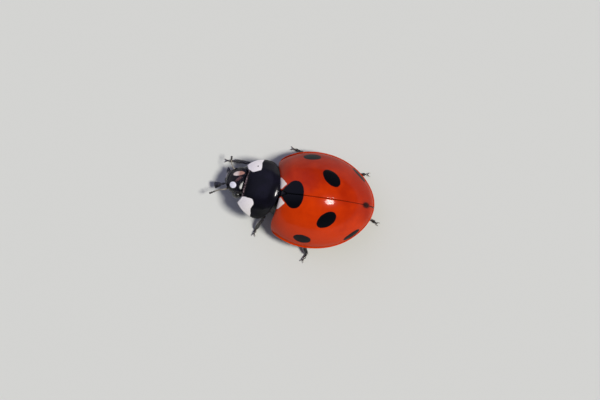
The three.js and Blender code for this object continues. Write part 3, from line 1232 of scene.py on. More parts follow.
@dataclass
class Mouth:
    """Labrum, jaws and lip below the face."""

    labrum: tuple = ((-0.04, -0.82, 0.84), (0.34, 0.13, 0.06), 64, 24)  # as oval_form takes them
    labrum_tilt: float = math.radians(-32)
    notch: tuple = (0.05, 0.11)  # depth and width
    notch_share: float = 0.5
    # the pale rim along the labrum's front edge: partly its pale margin, partly a painted highlight
    rim: tuple = (
        (-0.42, -0.78, 0.9), (-0.27, -0.88, 0.86), (-0.08, -0.93, 0.845), (0.12, -0.89, 0.86),
        (0.27, -0.79, 0.9),
    )
    rim_size: tuple = (0.034, 0.02, 40, 10)  # half width, half depth, rings and the vertices of each
    jaw_path: tuple = (
        (0.3, -0.62, 0.78), (0.31, -0.76, 0.72), (0.22, -0.88, 0.68), (0.09, -0.93, 0.66),
        (0.02, -0.92, 0.66),
    )
    jaw_width: float = 0.085
    jaw_tip: float = 0.22
    jaw_flatness: float = 0.8
    jaw_counts: tuple = (26, 16)
    maxilla: tuple = ((0.2, -0.62, 0.6), (0.12, 0.2, 0.1), 28, 16)
    lip_palp: tuple = ((0.09, -0.74, 0.56), (0.12, -0.86, 0.52), (0.12, -0.95, 0.5))
    lip_palp_size: tuple = (0.035, 0.035, 18, 12)
    lip: tuple = ((0.0, -0.66, 0.58), (0.15, 0.17, 0.09), 32, 16)

    def jaw(self, flip: Array) -> Form:
        """Shape one jaw, curved inwards to its teeth.

        Args:
            flip: The factors that carry the left side to the jaw's own side.

        Returns:
            The vertices and faces.
        """
        count, sides = self.jaw_counts
        line = spline(np.array(self.jaw_path) * flip, count)
        width = self.jaw_width * np.linspace(1, self.jaw_tip, count) * blunt(count)
        return tube_form(line, width, self.jaw_flatness * width, sides)

    def rod(self, path: Array, size: tuple) -> Form:
        """Shape a blunt rod.

        Args:
            path: The points that its middle line runs through.
            size: Its half width and half depth, its rings and the vertices of each.

        Returns:
            The vertices and faces.
        """
        wide, deep, count, sides = size
        ends = blunt(count)
        return tube_form(spline(path, count), wide * ends, deep * ends, sides)

    def upper_lip(self) -> Form:
        """Shape the labrum, notched in the middle of its front edge.

        Returns:
            The vertices and faces.
        """
        points, faces = oval_form(*self.labrum, Matrix.Rotation(self.labrum_tilt, 3, "X"))
        depth, width = self.notch
        lobed = depth * bump(points[:, 0], 0, width) * (points[:, 1] < self.labrum[0][1])
        points[:, 1] += self.notch_share * lobed
        return points, faces

    def build(self, finish: "Chitin", pale: "Chitin") -> bpy.types.Object:
        """Build the mouthparts as one piece.

        Args:
            finish: Their dark finish.
            pale: The finish of the labrum's pale edge, partly its pale margin and partly a painted
                highlight.

        Returns:
            The piece.
        """
        forms = [self.upper_lip(), oval_form(*self.lip)]
        for side in Side:
            flip = np.array([side.value, 1, 1])
            centre, *size = self.maxilla
            forms += [self.jaw(flip), oval_form(np.array(centre) * flip, *size)]
            forms.append(self.rod(np.array(self.lip_palp) * flip, self.lip_palp_size))
        shape = Shape()
        shape.add_all([(HEAD_PLACE.place(points), faces) for points, faces in forms])
        # partly painted highlight: the pale rim along the labrum's front edge
        points, faces = self.rod(self.rim, self.rim_size)
        shape.add(HEAD_PLACE.place(points), faces, 1)
        piece = shape.piece("mouth_parts", [finish.material(), pale.material()])
        return dress(piece, Finish.SHIELD, "mouthparts")


@dataclass
class Feelers:
    """Antennae of eleven joints with a three-jointed club, and palps with hatchet-shaped ends."""

    antennae: dict = field(
        default_factory=lambda: {
            Side.LEFT: (
                (0.5, -0.6, 1.04), (0.64, -0.68, 1.09), (0.8, -0.95, 1.05), (1.0, -1.18, 0.95),
                (1.17, -1.36, 0.88),
            ),
            Side.RIGHT: (
                (-0.46, -0.64, 1.04), (-0.5, -0.8, 1.1), (-0.66, -0.95, 1.08), (-0.84, -1.04, 0.98),
                (-1.0, -1.1, 0.9),
            ),
        }
    )
    joints: tuple = (  # length and radius of each
        (0.16, 0.06), (0.09, 0.048), (0.1, 0.038), (0.075, 0.035), (0.075, 0.035), (0.06, 0.035),
        (0.055, 0.036), (0.055, 0.039), (0.085, 0.054), (0.085, 0.069), (0.1, 0.067),
    )
    joint_counts: tuple = (20, 18)  # rings and the vertices of each
    joint_overlap: float = 0.006
    joint_root: float = 0.62
    joint_power: float = 1.2
    line_count: int = 400
    joint_knots: int = 6
    club_from: int = 8
    club_flatness: float = 0.8
    palp_counts: tuple = (26, 26)
    palp_width: float = 0.06
    palp_depth: float = 0.055
    hatchet: tuple = (0.07, 0.125, 0.8)  # half width at its root, its growth and the growth's power
    hatchet_depth: float = 0.068
    hatchet_ends: tuple = (7, 5)  # how blunt its ends are across and in depth
    palps: dict = field(
        default_factory=lambda: {
            Side.LEFT: (
                (0.26, -0.66, 0.58), (0.36, -0.86, 0.56), (0.46, -1.0, 0.52), (0.66, -1.32, 0.46),
            ),
            Side.RIGHT: (
                (-0.26, -0.66, 0.58), (-0.33, -0.8, 0.54), (-0.33, -0.9, 0.5), (-0.3, -1.04, 0.44),
            ),
        }
    )

    def joint_forms(self, side: Side) -> list:
        """Shape one antenna's joints, from its root out.

        Args:
            side: Which side it is on.

        Returns:
            The vertices and faces of each.
        """
        count, sides = self.joint_counts
        last = self.line_count - 1
        grow = self.joint_root + (1 - self.joint_root) * np.linspace(0, 1, count) ** self.joint_power
        line = spline(self.antennae[side], self.line_count)
        total = sum(length for length, _ in self.joints)
        forms, start = [], 0.0
        for number, (length, radius) in enumerate(self.joints):
            low = max(start / total - self.joint_overlap, 0)
            high = min((start + length) / total + self.joint_overlap, 1)
            part = line[int(low * last) : int(high * last) + 1]
            part = spline(part[:: max(1, len(part) // self.joint_knots)], count)
            wide = radius * blunt(count) * grow
            flat = self.club_flatness if number >= self.club_from else 1.0
            points, faces = tube_form(part, wide, flat * wide, sides)
            forms.append((HEAD_PLACE.place(points), faces))
            start += length
        return forms

    def antenna(self, side: Side, brown: "Chitin", dark: "Chitin") -> bpy.types.Object:
        """Build one antenna, joint after joint.

        Args:
            side: Which side it is on.
            brown: The stalk's finish.
            dark: The club's finish.

        Returns:
            The piece.
        """
        shape = Shape()
        for number, (points, faces) in enumerate(self.joint_forms(side)):
            shape.add(points, faces, int(number >= self.club_from))
        piece = shape.piece(f"feeler_{side.label}", [brown.material(), dark.material()])
        return dress(piece, Finish.FEELER, f"antenna_{side.label}")

    def palp_forms(self, side: Side) -> list:
        """Shape one palp's joints, the last of which widens like a hatchet.

        Args:
            side: Which side it is on.

        Returns:
            The vertices and faces of each.
        """
        knots = [np.array(p) for p in self.palps[side]]
        count, sides = self.palp_counts
        root, growth, power = self.hatchet
        spread = root + growth * np.linspace(0, 1, count) ** power
        wide_end, deep_end = self.hatchet_ends
        forms = []
        for number, (start, end) in enumerate(zip(knots, knots[1:])):
            line = spline([start, (start + end) / 2, end], count)
            wide, deep = self.palp_width * blunt(count), self.palp_depth * blunt(count)
            if number == len(knots) - 2:
                wide, deep = spread * blunt(count, wide_end), self.hatchet_depth * blunt(count, deep_end)
            points, faces = tube_form(line, wide, deep, sides)
            forms.append((HEAD_PLACE.place(points), faces))
        return forms

    def palp(self, side: Side, finish: "Chitin") -> bpy.types.Object:
        """Build one palp.

        Args:
            side: Which side it is on.
            finish: Its finish.

        Returns:
            The piece.
        """
        name, node = f"feeding_palp_{side.label}", f"palp_{side.label}"
        return plain_piece(name, self.palp_forms(side), finish.material(), Finish.SHIELD, node)


# ---------------------------------------------------------------- legs


@dataclass(frozen=True)
class LegPose:
    """Where one leg's joints stand."""

    name: str
    coxa: tuple
    knee: tuple
    ankle: tuple
    tip: tuple


POSES = (
    LegPose("left_front", (0.38, -0.98, 0.62), (1.25, -0.7, 0.7), (1.72, -1.0), (2.06, -1.08)),
    LegPose("left_middle", (0.78, 0.86, 0.54), (1.86, 1.26, 0.62), (2.67, 1.68), (3.06, 1.49)),
    LegPose("left_hind", (0.62, 2.02, 0.54), (0.9, 3.4, 0.6), (0.52, 4.62), (0.72, 5.06)),
    LegPose("right_front", (-0.58, -1.06, 0.62), (-1.46, -1.68, 0.7), (-1.52, -2.44), (-1.48, -2.98)),
    LegPose("right_middle", (-0.78, 0.86, 0.54), (-1.88, 1.04, 0.62), (-2.42, 0.76), (-2.52, 0.26)),
    LegPose("right_hind", (-0.62, 2.02, 0.54), (-1.6, 2.86, 0.62), (-1.65, 3.8), (-1.7, 4.3)),
)


@dataclass(frozen=True)
class FootJoint:
    """One joint of a foot, in shares of the foot's reach and half width."""

    start: float
    end: float
    wide: float
    deep: float
    root: float = 0.6
    heights: tuple | None = None  # Z along it, where it doesn't rest on its pad


@dataclass
class Leg:
    """One leg: coxa, trochanter, flat femur, slim tibia, and a foot of pads and claws.

    A size holds half width, half depth or the share left at the tip, rings, and vertices of each ring.
    Roots and paths run ahead, outwards and up.
    """

    pose: LegPose
    sides: int = 24
    femur_count: int = 54
    femur_width: float = 0.2
    femur_depth: float = 0.15
    femur_bow: tuple = (0.0, 0.0, 0.05)
    femur_belly: tuple = (0.66, 0.34, 1.05, 0.8)  # least share, growth, how soon it peaks and its power
    femur_ends: float = 9
    hip_top: tuple = (0.0, 0.0, 0.1)
    hip_foot: tuple = (0.0, 0.0, -0.06)
    hip_size: tuple = (0.24, 0.17, 20, 28)
    tibia_count: int = 44
    tibia_width: float = 0.1
    tibia_depth: float = 0.085
    tibia_bow: tuple = (0.0, 0.0, 0.07)
    tibia_swell: tuple = (0.74, 0.34, 0.1, 6)  # share at the knee, growth, loss at the ankle and its power
    tibia_ends: float = 12
    spur_root: tuple = (-0.03, 0.045, -0.03)
    spur_path: tuple = ((0.0, 0.0, 0.0), (0.06, 0.02, 0.0), (0.12, 0.0, -0.03))
    spur_size: tuple = (0.016, 0.15, 10, 8)
    ankle_z: float = 0.17
    ankle_drop: float = 0.02
    sole_z: float = 0.075
    foot_width: float = 0.075
    foot_reach: float = 0.9
    foot_fall: float = 0.3
    foot_joints: tuple = (
        FootJoint(-0.06, 0.34, 0.85, 0.85),
        FootJoint(0.26, 0.66, 1.2, 0.8),
        FootJoint(0.52, 1.0, 0.52, 0.52, 0.75, (0.13, 0.135, 0.1)),
    )
    joint_counts: tuple = (24, 20)
    joint_ends: float = 4
    claw_root: tuple = (-0.02, 0.028, 0.1)
    claw_path: tuple = ((0.0, 0.0, 0.0), (0.06, 0.045, 0.0), (0.11, 0.055, -0.045), (0.125, 0.04, -0.092))
    claw_size: tuple = (0.02, 0.12, 16, 10)
    tooth_at: int = 6
    tooth_path: tuple = ((0.0, 0.0, 0.0), (0.02, 0.0, -0.03), (0.02, 0.0, -0.055))
    tooth_size: tuple = (0.013, 0.2, 8, 8)

    def joints(self) -> tuple[Array, Array, Array, Array]:
        """Give coxa, knee, ankle and the foot's end."""
        p = self.pose
        ankle, tip = np.array([*p.ankle, self.ankle_z]), np.array([*p.tip, self.sole_z])
        return np.array(p.coxa), np.array(p.knee), ankle, tip

    def spike(self, path: Array, size: tuple) -> Form:
        """Build a rod that thins to a point.

        Args:
            path: The points that its middle line runs through.
            size: Its half width, the share left at its tip, its rings and the vertices of each.

        Returns:
            The vertices and faces.
        """
        half_width, tip, count, sides = size
        thick = half_width * np.linspace(1, tip, count)
        return tube_form(spline(path, count), thick, thick, sides)

    def thigh(self) -> list:
        """Build coxa, trochanter and femur.

        Returns:
            The vertices and faces of each form, the femur's first.
        """
        coxa, knee, _, _ = self.joints()
        count = self.femur_count
        line = spline([coxa, (coxa + knee) / 2 + self.femur_bow, knee], count)
        least, growth, early, power = self.femur_belly
        share = np.clip(np.linspace(0, 1, count) * early, 0, 1)
        swell = (least + growth * np.sin(math.pi * share) ** power) * blunt(count, self.femur_ends)
        femur = tube_form(line, self.femur_width * swell, self.femur_depth * swell, self.sides)
        wide, deep, count, sides = self.hip_size
        hip = spline([coxa + self.hip_top, coxa, coxa + self.hip_foot], count)
        ends = blunt(count)
        return [femur, tube_form(hip, wide * ends, deep * ends, sides, up=(0, 1, 0))]

    def shin(self) -> list:
        """Build the tibia with its two spurs.

        Returns:
            The vertices and faces of each form, the tibia's first.
        """
        _, knee, ankle, _ = self.joints()
        count = self.tibia_count
        t = np.linspace(0, 1, count)
        line = spline([knee, (knee + ankle) / 2 + self.tibia_bow, ankle], count)
        start, growth, loss, power = self.tibia_swell
        swell = (start + growth * t - loss * t**power) * blunt(count, self.tibia_ends)
        parts = [tube_form(line, self.tibia_width * swell, self.tibia_depth * swell, self.sides)]
        along = unit(ankle - knee)
        outward = unit(np.cross(along, UP))
        for side in Side:
            axes = np.array([along, outward * side.value, UP])
            steps = np.array(self.spur_root) + np.array(self.spur_path)
            parts.append(self.spike(ankle + steps @ axes, self.spur_size))
        return parts

    def foot_joint(self, joint: FootJoint, ankle: Array, run: Array) -> Form:
        """Build one joint of the foot.

        Args:
            joint: Which part of the foot it takes up.
            ankle: Where the foot starts.
            run: The level way from there to the foot's end.

        Returns:
            The vertices and faces.
        """
        count, sides = self.joint_counts
        pad = joint.deep * self.foot_width
        low, high = ankle + run * joint.start, ankle + run * joint.end
        low[2] = max(self.ankle_z - self.ankle_drop - self.foot_fall * joint.start, pad)
        high[2] = pad
        knots = np.stack([low, (low + high) / 2, high])
        if joint.heights:
            knots[:, 2] = joint.heights
        line = spline(knots, count)
        swell = (joint.root + (1 - joint.root) * np.linspace(0, 1, count)) * blunt(count, self.joint_ends)
        half_depth = np.minimum(pad * swell, line[:, 2])
        return tube_form(line, joint.wide * self.foot_width * swell, half_depth, sides)

    def foot(self) -> tuple[list, list]:
        """Build the foot: two padded joints, a slim last one and two toothed claws.

        Returns:
            The joints, and the claws.
        """
        _, _, ankle, tip = self.joints()
        level = np.array([1, 1, 0])
        run = (tip - ankle) * level * self.foot_reach
        joints = [self.foot_joint(joint, ankle, run) for joint in self.foot_joints]
        ahead = unit(run)
        claws = []
        for side in Side:
            axes = np.array([ahead, np.cross(ahead, UP) * side.value, UP])
            steps = np.array(self.claw_root) + np.array(self.claw_path)
            hook = (ankle + run) * level + steps @ axes
            claws.append(self.spike(hook, self.claw_size))
            root = spline(hook, self.claw_size[2])[self.tooth_at]
            claws.append(self.spike(root + np.array(self.tooth_path) @ axes, self.tooth_size))
        return joints, claws

    def hairy_forms(self) -> list:
        """Give the forms that carry hairs: femur, tibia and the foot's joints."""
        return [self.thigh()[0], self.shin()[0], *self.foot()[0]]

    def build(self, black: "Chitin", brown: "Chitin", claw: "Chitin") -> list[bpy.types.Object]:
        """Build the leg's pieces.

        Args:
            black: The finish of femur and tibia.
            brown: The finish of the foot.
            claw: The finish of the claws.

        Returns:
            The pieces.
        """
        name, material = self.pose.name, black.material()
        thigh = plain_piece(f"thigh_{name}", self.thigh(), material, Finish.LEG, f"femur_{name}")
        shin = plain_piece(f"shin_{name}", self.shin(), material, Finish.LEG, f"tibia_{name}")
        joints, claws = self.foot()
        foot = Shape()
        foot.add_all(joints)
        foot.add_all(claws, 1)
        end = foot.piece(f"foot_{name}", [brown.material(), claw.material()])
        return [thigh, shin, dress(end, Finish.FOOT, f"tarsus_{name}")]


# ---------------------------------------------------------------- finishes


SCREEN_WHITE = 255
SCREEN_STRAIGHT = (0.04045, 12.92)  # where the screen's curve starts, and its slope below that
SCREEN_CURVE = (0.055, 2.4)  # the curve's offset and power


def channel(value: int) -> float:
    """Turn one channel of a screen colour, 0 to 255, into a linear value.

    Args:
        value: The channel.

    Returns:
        The linear value.
    """
    share = value / SCREEN_WHITE
    low, slope = SCREEN_STRAIGHT
    offset, power = SCREEN_CURVE
    return share / slope if share <= low else ((share + offset) / (1 + offset)) ** power


def linear(red: int, green: int, blue: int) -> tuple[float, float, float, float]:
    """Turn a screen colour of 0 to 255 into a linear colour with alpha 1."""
    return channel(red), channel(green), channel(blue), 1.0


class Nodes:
    """A node tree that is being filled, with short ways to add its nodes."""

    MIX_FIRST, MIX_SECOND, MIX_RESULT = 6, 7, 2  # where a Mix node keeps its colours

    def __init__(self, tree: bpy.types.NodeTree) -> None:
        """Start on an empty tree.

        Args:
            tree: The tree to fill.
        """
        self.tree = tree
        tree.nodes.clear()

    def new(self, kind: str, inputs: dict | None = None, **settings: object) -> bpy.types.Node:
        """Add a node.

        Args:
            kind: Its type.
            inputs: What feeds each input: a socket or a plain value.
            settings: Its own settings.

        Returns:
            The node.
        """
        node = self.tree.nodes.new(kind)
        for key, value in settings.items():
            setattr(node, key, value)
        for key, value in (inputs or {}).items():
            self.feed(node.inputs[key], value)
        return node

    def result(self, kind: str, inputs: dict | None = None, **settings: object) -> object:
        """Add a node and give its first output."""
        return self.new(kind, inputs, **settings).outputs[0]

    def feed(self, socket: bpy.types.NodeSocket, value: object) -> None:
        """Link a socket to an input, or set the input's plain value."""
        if isinstance(value, bpy.types.NodeSocket):
            self.tree.links.new(value, socket)
        else:
            socket.default_value = value

    def math(self, kind: str, a: object, b: object = 0.0, c: object = 0.0, clamp: bool = False) -> object:
        """Add a Math node and give its result."""
        return self.result("ShaderNodeMath", {0: a, 1: b, 2: c}, operation=kind, use_clamp=clamp)

    def vector(self, kind: str, a: object, b: object = (0, 0, 0), c: object = (0, 0, 0)) -> object:
        """Add a Vector Math node and give its result."""
        node = self.new("ShaderNodeVectorMath", {0: a, 1: b, 2: c}, operation=kind)
        return node.outputs["Value" if kind == "DOT_PRODUCT" else "Vector"]

    def scaled(self, vector: object, factor: object) -> object:
        """Add a Vector Math node that scales a vector and give its result."""
        feeds = {"Vector": vector, "Scale": factor}
        return self.new("ShaderNodeVectorMath", feeds, operation="SCALE").outputs["Vector"]

    def split(self, vector: object) -> list:
        """Split a vector into its X, Y and Z."""
        return list(self.new("ShaderNodeSeparateXYZ", {0: vector}).outputs)

    def joined(self, x: object, y: object, z: object) -> object:
        """Join X, Y and Z into a vector."""
        return self.result("ShaderNodeCombineXYZ", {0: x, 1: y, 2: z})

    def inverse(self, share: object) -> object:
        """Give 1 less a share."""
        return self.math("SUBTRACT", 1.0, share)

    def highest(self, masks: Sequence[object]) -> object:
        """Give the highest of several masks."""
        top, *rest = masks
        for mask in rest:
            top = self.math("MAXIMUM", top, mask)
        return top

    def rise(self, value: object, low: object, high: object, to: tuple = (0.0, 1.0)) -> object:
        """Add a smooth Map Range and give its result."""
        feeds = {"Value": value, "From Min": low, "From Max": high, "To Min": to[0], "To Max": to[1]}
        return self.result("ShaderNodeMapRange", feeds, interpolation_type="SMOOTHSTEP")

    def mix(self, share: object, a: object, b: object) -> object:
        """Add a colour Mix and give its result."""
        colours = {self.MIX_FIRST: a, self.MIX_SECOND: b}
        return self.new("ShaderNodeMix", {0: share, **colours}, data_type="RGBA").outputs[self.MIX_RESULT]

    def noise(self, place: object, scale: object, detail: float = 2.0, rough: float = 0.5) -> object:
        """Add a Noise texture and give its value."""
        feeds = {"Vector": place, "Scale": scale, "Detail": detail, "Roughness": rough}
        return self.result("ShaderNodeTexNoise", feeds)

    def named(self, name: str, kind: str) -> object:
        """Read an attribute by name."""
        return self.result("GeometryNodeInputNamedAttribute", {"Name": name}, data_type=kind)

    def stored(self, geometry: object, name: str, value: object, kind: str, domain: str) -> object:
        """Store an attribute by name and give the geometry."""
        feeds = {"Geometry": geometry, "Name": name, "Value": value}
        return self.result("GeometryNodeStoreNamedAttribute", feeds, data_type=kind, domain=domain)

    def closed(self, geometry: object, material: object) -> bpy.types.NodeTree:
        """Give a geometry its material, feed it to the tree's output and give the tree."""
        feeds = {"Geometry": geometry, "Material": material}
        self.new("NodeGroupOutput", {0: self.result("GeometryNodeSetMaterial", feeds)})
        return self.tree

    def use(self, name: str, inputs: dict) -> bpy.types.Node:
        """Add a node group by name."""
        return self.new("ShaderNodeGroup", inputs, node_tree=bpy.data.node_groups[name])

    def mark(self, name: str, inputs: dict) -> object:
        """Add a mark's node group by name and give its mask."""
        return self.use(name, inputs).outputs[0]


def shader_group(
    name: str, inputs: dict[str, object], outputs: Sequence[str]
) -> tuple[Nodes, object, object]:
    """Start a shader node group with named inputs and outputs.

    Args:
        name: The group's name.
        inputs: Each input's name with its default, a number or a vector.
        outputs: The names of its value outputs.

    Returns:
        The nodes, the sockets that hold the inputs, and those that take the outputs.
    """
    tree = bpy.data.node_groups.new(name, "ShaderNodeTree")
    for key, value in inputs.items():
        kind = "NodeSocketFloat" if isinstance(value, float) else "NodeSocketVector"
        socket = tree.interface.new_socket(key, in_out="INPUT", socket_type=kind)
        socket.default_value = value
    for key in outputs:
        tree.interface.new_socket(key, in_out="OUTPUT", socket_type="NodeSocketFloat")
    nodes = Nodes(tree)
    return nodes, nodes.new("NodeGroupInput").outputs, nodes.new("NodeGroupOutput").inputs


@dataclass(frozen=True)
class SharedGroups:
    """The shader groups that the finishes share: marks, pits and unevenness."""

    oval_edge: tuple = (0.03, 0.03)  # how soft and how ragged, where a finish doesn't say
    oval_noise: tuple = (3.2, 3.0)  # a noise's features per millimetre and its detail
    corner_soft: float = 0.012
    corner_noise: tuple = (5.0, 3.0)
    corner_ragged: float = 0.05
    corner_fillet: float = 0.09
    corner_count: int = 5
    pit_size: tuple = (14.0, 0.24)  # pits per millimetre, and the share of its cell that one fills
    pit_scatter: float = 0.85
    broad_detail: tuple = (3.0, 0.55)  # a noise's detail and roughness
    fine_detail: tuple = (4.0, 0.6)
    fine_times: float = 14.0

    def oval_mark(self) -> None:
        """Build the mask of a ragged oval, 1 inside and 0 outside."""
        flat = (0.0, 0.0, 0.0)
        soft, ragged = self.oval_edge
        sizes = {"Centre": flat, "Long": flat, "Short": flat, "Soft": soft, "Ragged": ragged}
        n, given, out = shader_group("OvalMark", {"Place": flat, **sizes}, ["Mask"])
        away = n.vector("SUBTRACT", given["Place"], given["Centre"])
        u = n.vector("DOT_PRODUCT", away, given["Long"])
        v = n.vector("DOT_PRODUCT", away, given["Short"])
        reach = n.math("SQRT", n.math("ADD", n.math("MULTIPLY", u, u), n.math("MULTIPLY", v, v)))
        edge = n.math("SUBTRACT", n.noise(given["Place"], *self.oval_noise), 0.5)
        reach = n.math("MULTIPLY_ADD", edge, given["Ragged"], reach)
        low, high = n.inverse(given["Soft"]), n.math("ADD", 1.0, given["Soft"])
        n.feed(out["Mask"], n.inverse(n.rise(reach, low, high)))

    def corner_mark(self) -> None:
        """Build the mask of a convex outline with rounded corners, each line with its inside above 0."""
        lines = {f"Line {i + 1}": (0.0, 0.0, 1.0) for i in range(self.corner_count)}
        sizes = {"Place": (0.0, 0.0, 0.0), **lines, "Soft": self.corner_soft}
        n, given, out = shader_group("CornerMark", sizes, ["Mask"])
        x, y, _ = n.split(given["Place"])
        level = n.joined(x, y, 1.0)
        inner = None
        for key in lines:
            side = n.vector("DOT_PRODUCT", level, given[key])
            inner = side if inner is None else n.math("SMOOTH_MIN", inner, side, self.corner_fillet)
        ragged = n.math("SUBTRACT", n.noise(given["Place"], *self.corner_noise), 0.5)
        inner = n.math("MULTIPLY_ADD", ragged, self.corner_ragged, inner)
        n.feed(out["Mask"], n.rise(inner, n.math("MULTIPLY", given["Soft"], -1.0), given["Soft"]))

    def pits(self) -> None:
        """Build scattered round pits: their hollow as a height, and a mask of them."""
        per_mm, radius = self.pit_size
        sizes = {"Place": (0.0, 0.0, 0.0), "Per mm": per_mm, "Radius": radius}
        n, given, out = shader_group("Pits", sizes, ["Hollow", "Mask"])
        feeds = {"Vector": given["Place"], "Scale": given["Per mm"], "Randomness": self.pit_scatter}
        middle_off = n.new("ShaderNodeTexVoronoi", feeds).outputs["Distance"]
        hollow = n.rise(middle_off, 0.0, given["Radius"])
        n.feed(out["Hollow"], hollow)
        n.feed(out["Mask"], n.inverse(hollow))

    def unevenness(self) -> None:
        """Build a broad and a fine unevenness, both about 0.5."""
        sizes = {"Place": (0.0, 0.0, 0.0), "Per mm": 1.0}
        n, given, out = shader_group("Unevenness", sizes, ["Broad", "Fine"])
        n.feed(out["Broad"], n.noise(given["Place"], given["Per mm"], *self.broad_detail))
        fine = n.math("MULTIPLY", given["Per mm"], self.fine_times)
        n.feed(out["Fine"], n.noise(given["Place"], fine, *self.fine_detail))

    def build(self) -> None:
        """Build all four groups."""
        self.oval_mark()
        self.corner_mark()
        self.pits()
        self.unevenness()


@dataclass(frozen=True)
class Coating:
    """A finish's gloss and relief: what its shader's plain sockets and its fine layers hold."""

    name: str
    roughness: float = 0.3
    coat: float = 0.0
    coat_roughness: float = 0.1
    specular: float = 0.5
    tint: tuple = (1.0, 1.0, 1.0, 1.0)
    coat_ior: float = 1.5
    uneven_per_mm: float = 3.0
    pits_per_mm: float = 15.0
    pit_radius: float = 0.3
    spread: tuple = (0.24, 0.38)  # the roughness where it is smoothest and dullest
    depths: tuple = ()  # each layer of relief by name, with its depth in millimetres

    def sockets(self) -> dict[str, object]:
        """Give the shader's plain values by socket."""
        return {
            "Roughness": self.roughness,
            "Coat Weight": self.coat,
            "Coat Roughness": self.coat_roughness,
            "Coat IOR": self.coat_ior,
            "Specular IOR Level": self.specular,
            "Specular Tint": self.tint,
        }


class Surface:
    """A material under construction, with the layers that its finish is made from."""

    FINE_RANGE = (0.2, 0.8)  # the fine unevenness at which the roughness is least and most

    def __init__(self, coating: Coating) -> None:
        """Start the material.

        Args:
            coating: Its gloss and relief.
        """
        self.coating = coating
        self.material = bpy.data.materials.new(coating.name)
        self.material.use_nodes = True
        self.n = Nodes(self.material.node_tree)
        self.shader = self.n.new("ShaderNodeBsdfPrincipled")
        for name, value in coating.sockets().items():
            self.shader.inputs[name].default_value = value
        self.n.new("ShaderNodeOutputMaterial", {"Surface": self.shader.outputs[0]})
        seen = self.n.new("ShaderNodeTexCoord").outputs["Object"]
        self.place = self.n.vector("MULTIPLY_ADD", seen, (1 / MM,) * 3, tuple(float(-v) for v in SHIFT))
        uneven = self.n.use("Unevenness", {"Place": self.place, "Per mm": coating.uneven_per_mm})
        sizes = {"Per mm": coating.pits_per_mm, "Radius": coating.pit_radius}
        pits = self.n.use("Pits", {"Place": self.place, **sizes})
        self.layers = {socket.name: socket for node in (uneven, pits) for socket in node.outputs}

    def paint(self, colour: object, rough: object | None = None) -> bpy.types.Material:
        """Feed colour, roughness and relief to the shader.

        Args:
            colour: The finished colour.
            rough: The roughness, where it doesn't follow the coating's spread.

        Returns:
            The finished material.
        """
        n = self.n
        if rough is None:
            rough = n.rise(self.layers["Fine"], *self.FINE_RANGE, self.coating.spread)
        n.feed(self.shader.inputs["Base Color"], colour)
        n.feed(self.shader.inputs["Roughness"], rough)
        below = {}
        for layer, depth in self.coating.depths:
            feeds = {"Height": self.layers[layer], "Strength": 1.0, "Distance": depth * MM, **below}
            below = {"Normal": n.new("ShaderNodeBump", feeds).outputs[0]}
        n.feed(self.shader.inputs["Normal"], below["Normal"])
        return self.material


def turned(n: Nodes, place: object, placing: Placing) -> object:
    """Give a surface's place in a turned frame.

    Args:
        n: The material's nodes.
        place: The place in the animal's frame.
        placing: The turned frame.

    Returns:
        The socket with the place in that frame.
    """
    away = n.vector("SUBTRACT", place, placing.origin)
    c, s = math.cos(placing.yaw), math.sin(placing.yaw)
    x = n.vector("DOT_PRODUCT", away, (c, -s, 0.0))
    y = n.vector("DOT_PRODUCT", away, (s, c, 0.0))
    return n.joined(x, y, n.split(away)[2])


def corner_lines(corners: Sequence[tuple[float, float]]) -> dict:
    """Turn a convex outline into the lines that a CornerMark takes.

    Args:
        corners: Up to five corners, in order.

    Returns:
        The group's line inputs.
    """
    ring = np.array(corners, float)
    middle = ring.mean(axis=0)
    lines = {}
    for i, start in enumerate(ring):
        end = ring[(i + 1) % len(ring)]
        normal = unit(np.array([start[1] - end[1], end[0] - start[0]]))
        offset = -float(normal @ start)
        sign = 1.0 if normal @ middle + offset > 0 else -1.0
        lines[f"Line {i + 1}"] = (sign * normal[0], sign * normal[1], sign * offset)
    return lines


@dataclass(frozen=True)
class Spot:
    """A black spot of the wing cases, seen from above: its middle, half sizes and lie."""

    x: float
    y: float
    along: float
    across: float
    lie: float = 0.0
    step: float = 0.02

    def height(self, cases: WingCases, at: Array) -> float:
        """Give the dome's Z at one place."""
        return float(cases.dome.top(at[:1], at[1:])[0])

    def axes(self, cases: WingCases) -> dict:
        """Lay the spot on the dome.

        Args:
            cases: The wing cases that carry it.

        Returns:
            The OvalMark group's inputs.
        """
        at = np.array([self.x, self.y])
        slopes = []
        for aside in np.eye(2) * self.step:
            rise = self.height(cases, at + aside) - self.height(cases, at - aside)
            slopes.append(rise / (2 * self.step))
        normal = unit(np.array([-slopes[0], -slopes[1], 1.0]))
        lie = np.array([math.sin(self.lie), math.cos(self.lie), 0.0])
        long = unit(lie - normal * (lie @ normal))
        short = np.cross(normal, long)
        return {
            "Centre": (self.x, self.y, self.height(cases, at)),
            "Long": tuple(long / self.along),
            "Short": tuple(short / self.across),
        }


